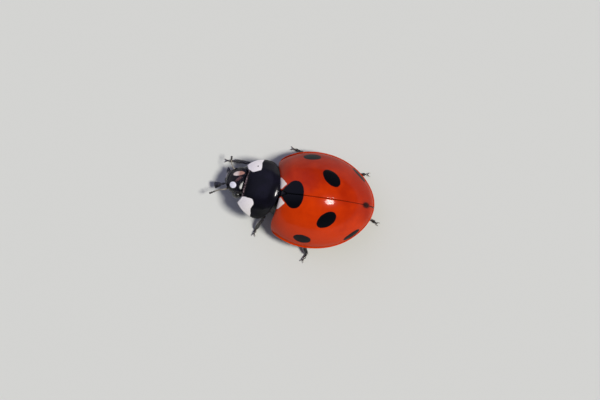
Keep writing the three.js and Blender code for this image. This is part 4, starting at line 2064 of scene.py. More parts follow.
@dataclass(frozen=True)
class WingCaseFinish:
    """Glossy orange-red with seven black spots, pale base marks and fine punctures."""

    red: tuple = linear(206, 56, 2)
    deep_red: tuple = linear(160, 33, 2)
    # partly painted light: a paler red low on the sides that keeps them as bright as the lit top, partly
    # the margin's own colour
    rim_red: tuple = linear(196, 58, 3)
    black: tuple = linear(6, 7, 12)
    cream: tuple = linear(250, 234, 220)
    # darker red-brown along the seam, widening into a mark at the tail
    seam_dark: tuple = linear(44, 10, 6)
    painted_shade_slope: tuple = (-0.12, 0.05)  # painted shade: how much deeper the red gets with each millimetre of X and of Y, deeper towards the right side and the tail
    deep_range: tuple = (0.3, 0.9)
    rim_range: tuple = (1.0, 1.7)
    rim_share: float = 0.55
    mottle: tuple = (0.4, 0.35)  # the fine unevenness that the mottling starts at, and its strength
    sway: float = 0.05
    spots: tuple = (
        Spot(1.07, 2.44, 0.55, 0.37, math.radians(-48)),
        Spot(2.12, 1.34, 0.44, 0.37, 0.0),
        Spot(1.564, 3.82, 0.47, 0.31, math.radians(-42)),
    )
    spot_ragged: float = 0.16
    shared_from: float = 0.05
    shared_to: float = 1.17
    shared_widths: tuple = (  # the shared spot's half width at shares of its length
        (0.0, 0.14), (0.06, 0.2), (0.14, 0.32), (0.25, 0.46), (0.36, 0.59), (0.5, 0.68),
        (0.64, 0.69), (0.78, 0.64), (0.9, 0.48), (0.97, 0.27), (1.0, 0.0),
    )
    shared_soft: float = 0.012
    shared_start: tuple = (-0.02, 0.0)
    shared_end: tuple = (0.985, 1.0)
    pale: tuple = ((0.2, 0.04), (0.48, 0.28), (0.8, -0.04), (0.5, -0.4))
    seam_width: tuple = ((3.9, 4.3), (0.012, 0.05))  # from where to where along Y, and the two widths
    seam_strength: tuple = ((1.2, 3.4), (0.45, 1.0))
    tail_mark: tuple = (4.3, 0.17, 0.16)  # its middle's Y, half length and half width
    tail_edge: tuple = (0.38, 0.3)  # how soft and how ragged
    rough: tuple = (0.12, 0.24)
    gloss_range: tuple = (1.4, 2.8)
    gloss: tuple = (0.04, 0.62)
    coating: Coating = Coating(
        "wing_case_red", 0.3, 0.6, 0.1, 0.02, coat_ior=1.32,
        uneven_per_mm=0.7, pits_per_mm=15.0, pit_radius=0.24,
        depths=(("Hollow", 0.0022), ("Broad", 0.02), ("Fine", 0.0012)),
    )

    def ground(self, surface: Surface, x: object, y: object, z: object) -> object:
        """Give the red, with painted shade that deepens it towards the right side and the tail, and a
        paler red low on the sides, partly the margin's own colour and partly painted light.

        Args:
            surface: The material.
            x: The place's X.
            y: Its Y.
            z: Its Z.

        Returns:
            The colour.
        """
        n, layers = surface.n, surface.layers
        along_x, along_y = self.painted_shade_slope
        # painted shade: the red deepens towards the right side and the tail, over a broad uneven tone
        deep = n.math("MULTIPLY_ADD", x, along_x, n.math("MULTIPLY_ADD", y, along_y, layers["Broad"]))
        body = n.mix(n.rise(deep, *self.deep_range), self.red, self.deep_red)
        # partly painted light: low on the sides the red turns towards the paler rim red, partly the
        # margin's own colour
        low = n.inverse(n.rise(z, *self.rim_range))
        body = n.mix(n.math("MULTIPLY", low, self.rim_share), body, self.rim_red)
        start, strength = self.mottle
        mottled = n.math("MULTIPLY", n.math("SUBTRACT", layers["Fine"], start), strength, clamp=True)
        return n.mix(mottled, body, self.deep_red)

    def spotted(self, n: Nodes, folded: object, outward: object, y: object) -> object:
        """Mask the black spots: three on each wing case, and one that both share.

        Args:
            n: The material's nodes.
            folded: The place with its X folded outwards.
            outward: That X.
            y: The place's Y.

        Returns:
            The mask.
        """
        cases = WingCases()
        feeds = [{"Place": folded, **spot.axes(cases), "Ragged": self.spot_ragged} for spot in self.spots]
        masks = [n.mark("OvalMark", each) for each in feeds]
        run = n.math("DIVIDE", n.math("SUBTRACT", y, self.shared_from), self.shared_to - self.shared_from)
        curve = n.new("ShaderNodeFloatCurve", {"Value": run})
        points = curve.mapping.curves[0].points
        for share, width in self.shared_widths[1:-1]:
            points.new(share, width)
        for point, place in zip(points, self.shared_widths):
            point.location = place
        curve.mapping.update()
        inside = n.math("SUBTRACT", curve.outputs[0], outward)
        shared = n.rise(inside, -self.shared_soft, self.shared_soft)
        started, ended = n.rise(run, *self.shared_start), n.rise(run, *self.shared_end)
        within = n.math("MULTIPLY", started, n.inverse(ended))
        return n.highest([*masks, n.math("MULTIPLY", shared, within)])

    def seam(self, n: Nodes, outward: object, y: object) -> object:
        """Mask the dark line along the seam, which widens into a mark at the tail.

        Args:
            n: The material's nodes.
            outward: How far the place lies from the seam.
            y: The place's Y.

        Returns:
            The mask.
        """
        run, widths = self.seam_width
        line = n.rise(outward, n.rise(y, *run, widths), 0.0)
        run, strengths = self.seam_strength
        line = n.math("MULTIPLY", line, n.rise(y, *run, strengths))
        middle, half_length, half_width = self.tail_mark
        soft, ragged = self.tail_edge
        feeds = {"Place": n.joined(outward, y, 0.0), "Centre": (0.0, middle, 0.0)}
        feeds |= {"Soft": soft, "Ragged": ragged}
        feeds |= {"Long": (0.0, 1 / half_length, 0.0), "Short": (1 / half_width, 0.0, 0.0)}
        return n.highest([line, n.mark("OvalMark", feeds)])

    def material(self) -> bpy.types.Material:
        """Build the finish.

        Returns:
            The material.
        """
        surface = Surface(self.coating)
        n, layers = surface.n, surface.layers
        x, y, z = n.split(surface.place)
        sway = n.math("MULTIPLY", n.math("SUBTRACT", layers["Broad"], 0.5), self.sway)
        outward = n.math("ADD", n.math("ABSOLUTE", x), sway)
        folded = n.joined(outward, y, z)
        body = n.mix(self.seam(n, outward, y), self.ground(surface, x, y, z), self.seam_dark)
        pale = n.mark("CornerMark", {"Place": folded, **corner_lines(self.pale)})
        body = n.mix(pale, body, self.cream)
        body = n.mix(self.spotted(n, folded, outward, y), body, self.black)
        n.feed(surface.shader.inputs["Coat Weight"], n.rise(z, *self.gloss_range, self.gloss))
        return surface.paint(body, n.math("MULTIPLY_ADD", layers["Fine"], *self.rough))


@dataclass(frozen=True)
class ShieldFinish:
    """Glossy black with a blue cast, pale front corners, and a pale line along the front edge, partly a
    pale film and partly a painted highlight.
    """

    black: tuple = linear(7, 7, 11)
    haze: tuple = linear(17, 15, 27)
    haze_range: tuple = (0.35, 0.7)
    cream: tuple = linear(252, 246, 242)
    shade: tuple = linear(206, 198, 190)
    shade_share: float = 0.75
    # partly painted highlight: the pale line along the front edge, partly a pale film
    film_and_glint: tuple = linear(176, 148, 150)
    film_range: tuple = (1.67, 1.77)
    film_breaks: tuple = (0.42, 0.62)
    corners: tuple = (
        ((0.95, -2.3), (0.62, -1.69), (0.66, -1.21), (0.86, -1.09), (1.16, -1.2)),
        ((1.1, -1.2), (1.42, -1.11), (1.8, -1.21), (1.8, -2.3), (0.95, -2.3)),
        ((-0.95, -2.3), (-0.72, -1.71), (-0.65, -1.55), (-0.86, -1.14), (-1.26, -1.21)),
        ((-1.2, -1.215), (-1.42, -1.15), (-1.8, -1.25), (-1.8, -2.3), (-0.95, -2.3)),
    )
    speck: tuple = (-1.016, -1.366, 1.62)
    speck_radius: float = 0.032
    speck_soft: float = 0.3
    gloss_range: tuple = (1.75, 2.5)
    gloss: tuple = (0.05, 0.66)
    coating: Coating = Coating(
        "shield_black", 0.34, 0.6, 0.13, 0.02, (0.8, 0.82, 1.0, 1.0), 1.4,
        uneven_per_mm=1.2, pits_per_mm=13.0, pit_radius=0.26, spread=(0.24, 0.38),
        depths=(("Hollow", 0.0014), ("Fine", 0.0006), ("Broad", 0.006)),
    )

    def dark_speck(self, n: Nodes, x: object, y: object) -> object:
        """Mask the speck in the right corner.

        Args:
            n: The material's nodes.
            x: The place's X in the shield's frame.
            y: Its Y.

        Returns:
            The mask.
        """
        feeds = {"Place": n.joined(x, y, self.speck[2]), "Centre": self.speck, "Soft": self.speck_soft}
        feeds |= {"Long": (1 / self.speck_radius, 0.0, 0.0), "Short": (0.0, 1 / self.speck_radius, 0.0)}
        return n.mark("OvalMark", feeds)

    def material(self) -> bpy.types.Material:
        """Build the finish, or find it if it is there already.

        Returns:
            The material.
        """
        found = bpy.data.materials.get(self.coating.name)
        if found:
            return found
        surface = Surface(self.coating)
        n, layers = surface.n, surface.layers
        own = turned(n, surface.place, FOREBODY)
        x, y, z = n.split(own)
        feeds = [{"Place": own, **corner_lines(corners)} for corners in self.corners]
        pale = n.highest([n.mark("CornerMark", each) for each in feeds])
        pale = n.math("MULTIPLY", pale, n.inverse(self.dark_speck(n, x, y)))
        body = n.mix(n.rise(layers["Broad"], *self.haze_range), self.black, self.haze)
        # partly painted highlight: a pale line along the front edge, broken up by the fine unevenness
        film_and_glint = n.rise(n.math("MULTIPLY", y, -1.0), *self.film_range)
        film_and_glint = n.math("MULTIPLY", film_and_glint, n.rise(layers["Fine"], *self.film_breaks))
        chalk = n.mix(n.math("MULTIPLY", layers["Mask"], self.shade_share), self.cream, self.shade)
        n.feed(surface.shader.inputs["Coat Weight"], n.rise(z, *self.gloss_range, self.gloss))
        return surface.paint(n.mix(pale, n.mix(film_and_glint, body, self.film_and_glint), chalk))


@dataclass(frozen=True)
class HeadMark:
    """A mark on the sloping face: its middle in the head's frame, half sizes, turn and edge."""

    x: float
    y: float
    half_width: float
    half_height: float
    turn: float
    soft: float
    ragged: float

    def mask(self, n: Nodes, place: object) -> object:
        """Lay the mark on the face, which slopes at 45 degrees.

        Args:
            n: The material's nodes.
            place: The place in the animal's frame.

        Returns:
            The mask.
        """
        c, s = math.cos(HEAD_PLACE.yaw), math.sin(HEAD_PLACE.yaw)
        slope = math.sqrt(0.5)
        across, up = np.array([c, -s, 0.0]), np.array([s * slope, c * slope, slope])
        turn_c, turn_s = math.cos(self.turn), math.sin(self.turn)
        feeds = {
            "Place": place,
            "Centre": tuple(Head().seat(self.x, self.y)),
            "Long": tuple((across * turn_c + up * turn_s) / self.half_width),
            "Short": tuple((up * turn_c - across * turn_s) / self.half_height),
            "Soft": self.soft,
            "Ragged": self.ragged,
        }
        return n.mark("OvalMark", feeds)


@dataclass(frozen=True)
class HeadFinish:
    """Black with a pale spot beside each eye and a flush between them."""

    black: tuple = linear(8, 8, 12)
    haze: tuple = linear(20, 18, 29)
    haze_range: tuple = (0.35, 0.7)
    white: tuple = linear(252, 250, 255)
    cream: tuple = linear(238, 222, 210)
    pink: tuple = linear(176, 128, 112)
    cream_range: tuple = (2.08, 2.3)  # how far forward the right spot turns from pink to cream
    flush: tuple = linear(120, 84, 82)
    flush_breaks: tuple = (0.35, 0.6)
    pit_share: float = 0.18
    left: HeadMark = HeadMark(0.34, -0.44, 0.155, 0.215, 0.0, 0.06, 0.12)
    right: HeadMark = HeadMark(-0.3, -0.41, 0.125, 0.29, math.radians(26), 0.1, 0.35)
    streak: HeadMark = HeadMark(-0.06, -0.285, 0.17, 0.085, math.radians(-24), 0.5, 1.1)
    coating: Coating = Coating(
        "head_black", 0.34, 0.5, 0.2, 0.03, (0.82, 0.84, 1.0, 1.0), 1.4,
        uneven_per_mm=2.4, pits_per_mm=17.0, pit_radius=0.28, spread=(0.28, 0.42),
        depths=(("Hollow", 0.0045), ("Fine", 0.002)),
    )

    def material(self) -> bpy.types.Material:
        """Build the finish.

        Returns:
            The material.
        """
        surface = Surface(self.coating)
        n, layers, place = surface.n, surface.layers, surface.place
        body = n.mix(n.rise(layers["Broad"], *self.haze_range), self.black, self.haze)
        flush = n.math("MULTIPLY", self.streak.mask(n, place), n.rise(layers["Fine"], *self.flush_breaks))
        body = n.mix(flush, body, self.flush)
        # painted shade: the pale spots darken in their pits
        pit_shade = n.math("MULTIPLY", layers["Mask"], self.pit_share)
        body = n.mix(self.left.mask(n, place), body, n.mix(pit_shade, self.white, self.black))
        forward = n.vector("DOT_PRODUCT", place, (0.0, -1.0, 0.0))
        patch = n.mix(n.rise(forward, *self.cream_range), self.pink, self.cream)
        return surface.paint(n.mix(self.right.mask(n, place), body, n.mix(pit_shade, patch, self.black)))


@dataclass(frozen=True)
class SkinFinish:
    """Dull, punctured black with a pale plate on each side of the middle thorax."""

    black: tuple = linear(16, 14, 16)
    worn: tuple = linear(34, 28, 27)
    worn_range: tuple = (0.4, 0.75)
    # painted shade: the colour inside the pits
    pit: tuple = linear(5, 4, 5)
    pit_share: float = 0.5
    cream: tuple = linear(226, 216, 200)
    plate: tuple = (1.66, 0.5, 0.86)
    plate_half: tuple = (0.3, 0.16)  # along Y and along Z
    plate_edge: tuple = (0.12, 0.3)  # how soft and how ragged
    plate_range: tuple = (1.3, 1.4)
    coating: Coating = Coating(
        "underside_black", 0.42, 0.1, 0.25, 0.25, uneven_per_mm=1.6, pits_per_mm=11.0, spread=(0.34, 0.56),
        depths=(("Hollow", 0.007), ("Fine", 0.003)),
    )

    def material(self) -> bpy.types.Material:
        """Build the finish.

        Returns:
            The material.
        """
        surface = Surface(self.coating)
        n, layers = surface.n, surface.layers
        x, y, z = n.split(surface.place)
        outward = n.math("ABSOLUTE", x)
        long, tall = self.plate_half
        soft, ragged = self.plate_edge
        feeds = {"Place": n.joined(outward, y, z), "Centre": self.plate, "Soft": soft, "Ragged": ragged}
        feeds |= {"Long": (0.0, 1 / long, 0.0), "Short": (0.0, 0.0, 1 / tall)}
        pale = n.math("MULTIPLY", n.mark("OvalMark", feeds), n.rise(outward, *self.plate_range))
        body = n.mix(n.rise(layers["Broad"], *self.worn_range), self.black, self.worn)
        # painted shade: darker in the pits
        body = n.mix(n.math("MULTIPLY", layers["Mask"], self.pit_share), body, self.pit)
        return surface.paint(n.mix(pale, body, self.cream))


@dataclass(frozen=True)
class Chitin:
    """A plain hard finish of one colour that darkens unevenly, with fine relief."""

    name: str
    colour: tuple
    dark: tuple
    roughness: float = 0.32
    coat: float = 0.4
    per_mm: float = 22.0
    depth: float = 0.003
    dark_range: tuple = (0.35, 0.7)
    spread: tuple = (-0.06, 0.1)
    coat_roughness: float = 0.15
    fine_share: float = 0.6

    def material(self) -> bpy.types.Material:
        """Build the finish, or find it if it is there already.

        Returns:
            The material.
        """
        found = bpy.data.materials.get(self.name)
        if found:
            return found
        coating = Coating(
            self.name, self.roughness, self.coat, self.coat_roughness, pits_per_mm=self.per_mm,
            spread=tuple(self.roughness + change for change in self.spread),
            depths=(("Hollow", self.depth), ("Fine", self.depth * self.fine_share)),
        )
        surface = Surface(coating)
        share = surface.n.rise(surface.layers["Broad"], *self.dark_range)
        return surface.paint(surface.n.mix(share, self.colour, self.dark))


LEG_BLACK = Chitin("leg_black", linear(17, 15, 17), linear(8, 7, 8))
FOOT_BROWN = Chitin("foot_brown", linear(38, 27, 20), linear(20, 14, 12))
CLAW_BROWN = Chitin("claw_brown", linear(84, 44, 20), linear(44, 22, 12), 0.22, 0.6)
STALK_BROWN = Chitin("stalk_brown", linear(150, 144, 126), linear(112, 104, 86), 0.34)
CLUB_BROWN = Chitin("club_brown", linear(38, 31, 28), linear(20, 17, 17), 0.4, 0.2)
MOUTH_BLACK = Chitin("mouth_black", linear(17, 18, 27), linear(9, 9, 14), 0.26, 0.6)
# partly painted highlight: the labrum's pale front rim, partly its pale margin
LIP_PALE = Chitin("lip_pale", linear(222, 212, 200), linear(176, 164, 150), 0.3)
HAIR_PALE = Chitin("hair_pale", linear(176, 172, 168), linear(128, 124, 122), 0.45, 0.0, 4.0, 0.0)
# The eye's second colour is a paler grey-green, mixed in patches: a painted sheen on the lenses.
EYE_BLACK = Chitin("eye_black", linear(20, 21, 17), linear(46, 48, 38), 0.16, 1.0, 4.0, 0.0)


# ---------------------------------------------------------------- eyes and hairs


def growth_tree(name: str, inputs: dict[str, str]) -> tuple[Nodes, object]:
    """Start a geometry node tree that takes and gives a geometry.

    Args:
        name: The tree's name.
        inputs: Each further input's name with its kind of socket.

    Returns:
        The nodes, and the sockets that hold the inputs.
    """
    tree = bpy.data.node_groups.new(name, "GeometryNodeTree")
    tree.interface.new_socket("Geometry", in_out="INPUT", socket_type="NodeSocketGeometry")
    for key, kind in inputs.items():
        tree.interface.new_socket(key, in_out="INPUT", socket_type=f"NodeSocket{kind}")
    tree.interface.new_socket("Geometry", in_out="OUTPUT", socket_type="NodeSocketGeometry")
    n = Nodes(tree)
    return n, n.new("NodeGroupInput").outputs


@dataclass
class Eye:
    """A compound eye: an oval of six-sided lenses."""

    centre: tuple = (0.665, -0.05, 1.28)
    radii: tuple = (0.195, 0.25, 0.24)
    detail: int = 5
    lens_gap: float = 0.8
    lens_rise: float = 0.0022

    def tree(self) -> bpy.types.NodeTree:
        """Build the node tree that raises a lens on each face of an oval.

        Returns:
            The tree, with named inputs for its sizes.
        """
        kinds = {"Centre": "Vector", "Radii": "Vector", "Detail": "Int", "Finish": "Material"}
        n, given = growth_tree("EyeLenses", {**kinds, "Lens gap": "Float", "Lens rise": "Float"})
        ball = n.result("GeometryNodeMeshIcoSphere", {"Radius": 1.0, "Subdivisions": given["Detail"]})
        cells = n.result("GeometryNodeDualMesh", {"Mesh": ball})
        feeds = {"Geometry": cells, "Scale": given["Radii"], "Translation": given["Centre"]}
        oval = n.result("GeometryNodeTransform", feeds)
        feeds = {"Mesh": oval, "Offset Scale": given["Lens rise"], "Individual": True}
        raised = n.new("GeometryNodeExtrudeMesh", feeds, mode="FACES").outputs
        feeds = {"Geometry": raised["Mesh"], "Selection": raised["Top"], "Scale": given["Lens gap"]}
        lens = n.result("GeometryNodeScaleElements", feeds)
        real = n.result("GeometryNodeRealizeInstances", {"Geometry": lens})
        return n.closed(real, given["Finish"])

    def build(self, side: Side, finish: Chitin) -> bpy.types.Object:
        """Build one eye.

        Args:
            side: Which side it is on.
            finish: Its finish.

        Returns:
            The piece.
        """
        centre = HEAD_PLACE.place(np.array(self.centre) * [side.value, 1, 1])
        sizes = {
            "Centre": tuple((centre + SHIFT) * MM),
            "Radii": tuple(r * MM for r in self.radii),
            "Detail": self.detail,
            "Lens gap": self.lens_gap,
            "Lens rise": self.lens_rise * MM,
            "Finish": finish.material(),
        }
        tree = bpy.data.node_groups.get("EyeLenses") or self.tree()
        return dress(grown(f"compound_eye_{side.label}", tree, sizes), Finish.EYE, f"eye_{side.label}")


def unrolled(points: Array, faces: list) -> tuple[Array, Array]:
    """Unroll a form of rings onto a unit square.

    Args:
        points: The form's vertices, as rings_form gives them.
        faces: Its faces.

    Returns:
        A place on the square for each face's corners, and the way along the rings at each vertex.
    """
    first = len(points) - 2
    columns = 1 + max(face[2] for face in faces if face[0] == first)
    rows = first // columns
    rings = points[:first].reshape(rows, columns, 3)
    lie = unit(np.gradient(rings, axis=0))
    lie = np.vstack([lie.reshape(-1, 3), lie[0].mean(axis=0), lie[-1].mean(axis=0)])
    corners = []
    for face in faces:
        seam = any(v < first and v % columns == columns - 1 for v in face)
        for v in face:
            row, column = divmod(v, columns)
            if v >= first:
                row, column = (-1 if v == first else rows), face[-1] % columns
            elif seam and column == 0:
                column = columns
            corners.append((column / columns, (row + 1) / (rows + 1)))
    return np.array(corners), lie


HAIR_SPANS = 3
HAIR_SIDES = 3
HAIR_MIDDLE = (0.04, 0, 0.5)  # the bend of a hair of length 1
HAIR_TIP = (-0.16, 0, 0.98)
HAIR_TAPER = (0.2, 1.0, (1.0, 0.15))  # where along it the taper starts and ends, and the share left there
HAIR_STRAY = 0.3
HAIR_SIZES = (0.65, 1.15)  # the shortest and longest shares of the coat's length
PATCH_LENGTH = 0.003  # a hair's patch of the unwrap, along it
PATCH_WIDTH = 0.03  # and across it, for each share of its length


@dataclass(frozen=True)
class Coat:
    """Short pale hairs that lie along a part."""

    name: str
    slot: Finish
    per_mm2: float
    length: float
    radius: float = 0.0032
    rise: float = math.radians(28)
    from_z: float = 0.12
    below_z: float = FAR
    seed: int = SEED

    def base(self, forms: Sequence[Form]) -> bpy.types.Mesh:
        """Build the mesh that the hairs grow from.

        Args:
            forms: The part's forms, in the animal's frame.

        Returns:
            A mesh with an unwrap of its own shape, the way the hairs lie and where they grow.
        """
        across = math.ceil(math.sqrt(len(forms)))
        points, faces, corners, lies, count = [], [], [], [], 0
        for number, (form_points, form_faces) in enumerate(forms):
            places, lie = unrolled(form_points, form_faces)
            corners.append((places + np.array(divmod(number, across))) / across)
            lies.append(lie)
            points.append(form_points)
            faces += [tuple(v + count for v in face) for face in form_faces]
            count += len(form_points)
        rows = np.vstack(points)
        mesh = bpy.data.meshes.new(self.name)
        mesh.from_pydata(((rows + SHIFT) * MM).tolist(), [], faces)
        unwrap = mesh.attributes.new("Unwrap", "FLOAT2", "CORNER")
        unwrap.data.foreach_set("vector", np.vstack(corners).ravel())
        lie = mesh.attributes.new("Lie", "FLOAT_VECTOR", "POINT")
        lie.data.foreach_set("vector", np.vstack(lies).ravel())
        hairy = np.where((rows[:, 2] > self.from_z) & (rows[:, 2] < self.below_z), 1.0, 0.0)
        mesh.attributes.new("Hairy", "FLOAT", "POINT").data.foreach_set("value", hairy)
        face_outwards(mesh)
        return mesh

    def hair(self, n: Nodes, slimness: object) -> object:
        """Shape one upright hair of length 1, with its own patch of the unwrap.

        Args:
            n: The tree's nodes.
            slimness: Its radius as a share of its length.

        Returns:
            The hair.
        """
        feeds = {"Resolution": HAIR_SPANS, "Start": (0, 0, 0), "Middle": HAIR_MIDDLE, "End": HAIR_TIP}
        line = n.result("GeometryNodeCurveQuadraticBezier", feeds)
        ring = n.result("GeometryNodeCurvePrimitiveCircle", {"Resolution": HAIR_SIDES, "Radius": slimness})
        along = n.new("GeometryNodeSplineParameter").outputs["Factor"]
        feeds = {"Curve": line, "Profile Curve": ring, "Scale": n.rise(along, *HAIR_TAPER)}
        hair = n.result("GeometryNodeCurveToMesh", feeds)
        _, y, z = n.split(n.result("GeometryNodeInputPosition"))
        patch = n.joined(n.math("MULTIPLY", z, PATCH_LENGTH), n.math("MULTIPLY", y, PATCH_WIDTH), 0.0)
        return n.stored(hair, "Patch", patch, "FLOAT_VECTOR", "POINT")

    def lie(self, n: Nodes, given: object, normal: object) -> object:
        """Turn each hair to lie along the part, raised a little and astray a little.

        Args:
            n: The tree's nodes.
            given: The tree's inputs.
            normal: The surface's normal at each root.

        Returns:
            The turn of each hair.
        """
        lie = n.named("Lie", "FLOAT_VECTOR")
        away = n.vector("SUBTRACT", lie, n.scaled(normal, n.vector("DOT_PRODUCT", lie, normal)))
        flat = n.scaled(n.vector("NORMALIZE", away), n.math("COSINE", given["Rise"]))
        lift = n.scaled(normal, n.math("SINE", given["Rise"]))
        feeds = {0: (-HAIR_STRAY,) * 3, 1: (HAIR_STRAY,) * 3, "Seed": given["Seed"]}
        stray = n.result("FunctionNodeRandomValue", feeds, data_type="FLOAT_VECTOR")
        toward = n.vector("NORMALIZE", n.vector("ADD", n.vector("ADD", flat, lift), stray))
        feeds = {"Primary Axis": toward, "Secondary Axis": normal}
        return n.result("FunctionNodeAxesToRotation", feeds, primary_axis="Z", secondary_axis="X")

    def tree(self) -> bpy.types.NodeTree:
        """Build the node tree that grows lying hairs from a mesh.

        Returns:
            The tree, with named inputs for its sizes.
        """
        kinds = {"Density": "Float", "Length": "Float", "Slimness": "Float", "Rise": "Float"}
        n, given = growth_tree("LyingHairs", {**kinds, "Seed": "Int", "Finish": "Material"})
        density = n.math("MULTIPLY", given["Density"], n.named("Hairy", "FLOAT"))
        feeds = {"Mesh": given["Geometry"], "Density": density, "Seed": given["Seed"]}
        roots = n.new("GeometryNodeDistributePointsOnFaces", feeds).outputs
        least, most = HAIR_SIZES
        feeds = {2: least, 3: most, "Seed": given["Seed"]}
        size = n.new("FunctionNodeRandomValue", feeds, data_type="FLOAT").outputs[1]
        feeds = {
            "Points": roots["Points"],
            "Instance": self.hair(n, given["Slimness"]),
            "Rotation": self.lie(n, given, roots["Normal"]),
            "Scale": n.math("MULTIPLY", size, given["Length"]),
        }
        coat = n.result("GeometryNodeInstanceOnPoints", feeds)
        coat = n.result("GeometryNodeRealizeInstances", {"Geometry": coat})
        place = n.vector("ADD", n.named("Unwrap", "FLOAT_VECTOR"), n.named("Patch", "FLOAT_VECTOR"))
        coat = n.stored(coat, "OFBake", place, "FLOAT2", "CORNER")
        for name in ("Unwrap", "Patch", "Lie", "Hairy"):
            coat = n.result("GeometryNodeRemoveAttribute", {"Geometry": coat, "Name": name})
        return n.closed(coat, given["Finish"])

    def build(self, forms: Sequence[Form], finish: Chitin) -> bpy.types.Object:
        """Grow the coat.

        Args:
            forms: The forms that carry it, in the animal's frame.
            finish: The hairs' finish.

        Returns:
            The piece.
        """
        tree = bpy.data.node_groups.get("LyingHairs") or self.tree()
        sizes = {
            "Density": self.per_mm2 / MM**2,
            "Length": self.length * MM,
            "Slimness": self.radius / self.length,
            "Rise": self.rise,
            "Seed": self.seed,
            "Finish": finish.material(),
        }
        return dress(grown(self.name, tree, sizes, self.base(forms)), self.slot)


def grown(
    name: str, tree: bpy.types.NodeTree, sizes: dict, base: bpy.types.Mesh | None = None
) -> bpy.types.Object:
    """Run a geometry node tree and keep its result as a plain mesh.

    Args:
        name: The new piece's name.
        tree: The tree to run.
        sizes: Its inputs by name.
        base: The mesh that it starts from.

    Returns:
        The piece.
    """
    holder = linked(f"{name}_base", base or bpy.data.meshes.new(name))
    modifier = holder.modifiers.new("Grow", "NODES")
    modifier.node_group = tree
    for item in tree.interface.items_tree:
        if item.in_out == "INPUT" and item.name in sizes:
            modifier[item.identifier] = sizes[item.name]
    graph = bpy.context.evaluated_depsgraph_get()
    done = holder.evaluated_get(graph)
    mesh = bpy.data.meshes.new_from_object(done, preserve_all_data_layers=True, depsgraph=graph)
    start = holder.data
    bpy.data.objects.remove(holder)
    bpy.data.meshes.remove(start)
    mesh.name = name
    return linked(name, mesh)


# ---------------------------------------------------------------- floor, light and camera


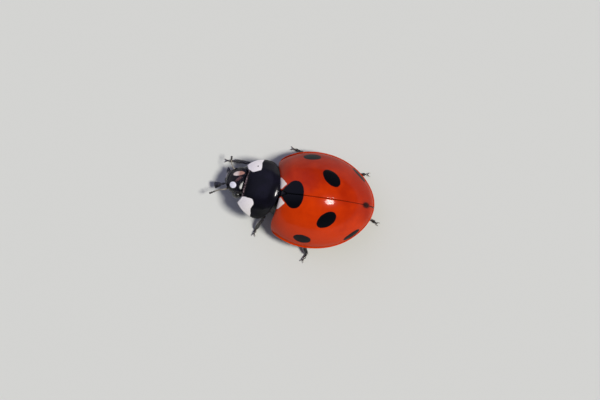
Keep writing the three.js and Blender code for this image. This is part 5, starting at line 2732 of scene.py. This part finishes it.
@dataclass
class Stage:
    """A pale floor, soft light and the camera above the animal."""

    floor_half: float = 1.2
    floor_colour: tuple = linear(206, 208, 202)
    floor_roughness: float = 0.8
    floor_specular: float = 0.2
    aim: tuple = (0.08, 1.01, 0.97)
    view_turn: float = math.radians(7.3)
    view_lean: float = math.radians(4.3)
    frame_width: float = 30.0
    lens: float = 180.0
    sensor: float = 36.0
    clip: tuple = (0.005, 5.0)
    key_strength: float = 3.1
    key_angle: float = math.radians(14)
    key_colour: tuple = (1.0, 0.97, 0.93)
    key_toward: tuple = (0.06, 0.472, 0.878)
    key_distance: float = 0.5
    window: tuple = (-0.517, -0.603, 0.603)
    window_range: tuple = (0.56, 0.97)
    window_glow: tuple = (0.46, 0.46, 0.74, 1.0)
    horizon: tuple = (0.56, 0.58, 0.58, 1.0)
    horizon_range: tuple = (0.03, 0.12)
    haze: tuple = (0.16, 0.17, 0.185, 1.0)
    zenith: tuple = (0.085, 0.09, 0.105, 1.0)
    zenith_range: tuple = (0.1, 0.7)

    def floor(self) -> None:
        """Lay the floor."""
        h = self.floor_half
        mesh = bpy.data.meshes.new("floor")
        mesh.from_pydata([(-h, -h, 0), (h, -h, 0), (h, h, 0), (-h, h, 0)], [], [(0, 1, 2, 3)])
        material = bpy.data.materials.new("floor_pale")
        material.use_nodes = True
        shader = material.node_tree.nodes["Principled BSDF"]
        shader.inputs["Base Color"].default_value = self.floor_colour
        shader.inputs["Roughness"].default_value = self.floor_roughness
        shader.inputs["Specular IOR Level"].default_value = self.floor_specular
        mesh.materials.append(material)
        linked("floor", mesh)

    def key(self) -> None:
        """Hang the key light, facing the animal."""
        light = bpy.data.lights.new("key", "SUN")
        light.energy, light.angle, light.color = self.key_strength, self.key_angle, self.key_colour
        out = Vector(self.key_toward).normalized()
        made = linked("key", light)
        made.location = out * self.key_distance
        made.rotation_mode = "QUATERNION"
        made.rotation_quaternion = out.to_track_quat("Z", "Y")

    def room(self) -> None:
        """Fill the room with a glow, paler towards the horizon, and a soft blue window."""
        world = bpy.data.worlds.new("room")
        world.use_nodes = True
        n = Nodes(world.node_tree)
        toward = n.new("ShaderNodeTexCoord").outputs["Generated"]
        height = n.split(toward)[2]
        tint = n.mix(n.rise(height, *self.zenith_range), self.haze, self.zenith)
        window = n.vector("DOT_PRODUCT", toward, self.window)
        tint = n.mix(n.rise(window, *self.window_range), tint, self.window_glow)
        tint = n.mix(n.rise(height, *self.horizon_range), self.horizon, tint)
        glow = n.new("ShaderNodeBackground", {"Color": tint, "Strength": 1.0})
        n.new("ShaderNodeOutputWorld", {"Surface": glow.outputs[0]})
        bpy.context.scene.world = world

    def camera(self) -> None:
        """Place the camera."""
        s, c = math.sin(self.view_turn), math.cos(self.view_turn)
        lean_s, lean_c = math.sin(self.view_lean), math.cos(self.view_lean)
        across = np.array([lean_c, 0, -lean_s])
        ahead = np.array([0, 1, 0])
        right = c * ahead - s * across
        down = s * ahead + c * across
        back = np.cross(right, -down)
        data = bpy.data.cameras.new("camera")
        data.lens, data.sensor_width = self.lens, self.sensor
        distance = self.frame_width * self.lens / self.sensor
        spot = (np.array(self.aim) + SHIFT + back * distance) * MM
        turn = np.stack([right, -down, back], axis=1)
        data.clip_start, data.clip_end = self.clip
        made = linked("camera", data)
        made.matrix_world = Matrix.Translation(spot) @ Matrix(turn.tolist()).to_4x4()
        bpy.context.scene.camera = made

    def build(self) -> None:
        """Set the whole stage."""
        self.camera()
        self.key()
        self.room()
        self.floor()
        bpy.context.scene.view_settings.view_transform = "Standard"


# ---------------------------------------------------------------- the whole animal


def main() -> None:
    logging.basicConfig(level=logging.INFO, format="%(name)s: %(message)s")
    Stage().build()
    SharedGroups().build()
    shield = ShieldFinish()
    pieces = WingCases().build(WingCaseFinish())
    pieces.append(Scutellum().build(shield))
    pieces.append(Pronotum().build(shield))
    skin, head, feelers = BodySkin(), Head(), Feelers()
    pieces.append(skin.build(SkinFinish()))
    coat = Coat("body_hairs", Finish.UNDERSIDE, per_mm2=190, length=0.1, below_z=0.94)
    pieces.append(coat.build([skin.form()], HAIR_PALE))
    pieces.append(head.build(HeadFinish()))
    coat = Coat("head_hairs", Finish.SHIELD, per_mm2=90, length=0.045, radius=0.0022)
    pieces.append(coat.build([head.form()], HAIR_PALE))
    pieces.append(Mouth().build(MOUTH_BLACK, LIP_PALE))
    for side in Side:
        pieces.append(feelers.antenna(side, STALK_BROWN, CLUB_BROWN))
        pieces.append(feelers.palp(side, MOUTH_BLACK))
        name = f"feeler_hairs_{side.label}"
        coat = Coat(name, Finish.FEELER, per_mm2=420, length=0.04, radius=0.002, rise=math.radians(38))
        pieces.append(coat.build(feelers.joint_forms(side), HAIR_PALE))
        coat = Coat(f"palp_hairs_{side.label}", Finish.SHIELD, per_mm2=240, length=0.05, radius=0.0024)
        pieces.append(coat.build(feelers.palp_forms(side), HAIR_PALE))
        pieces.append(Eye().build(side, EYE_BLACK))
    for pose in POSES:
        leg = Leg(pose)
        pieces += leg.build(LEG_BLACK, FOOT_BROWN, CLAW_BROWN)
        coat = Coat(f"leg_hairs_{pose.name}", Finish.LEG, per_mm2=260, length=0.085)
        pieces.append(coat.build(leg.hairy_forms(), HAIR_PALE))
    for piece in pieces:
        corners = [v.co for v in piece.data.vertices]
        low = min(c.z for c in corners) / MM
        log.info("%s: %d faces, lowest point %.3f mm", piece.name, len(piece.data.polygons), low)


if __name__ == "__main__":
    main()
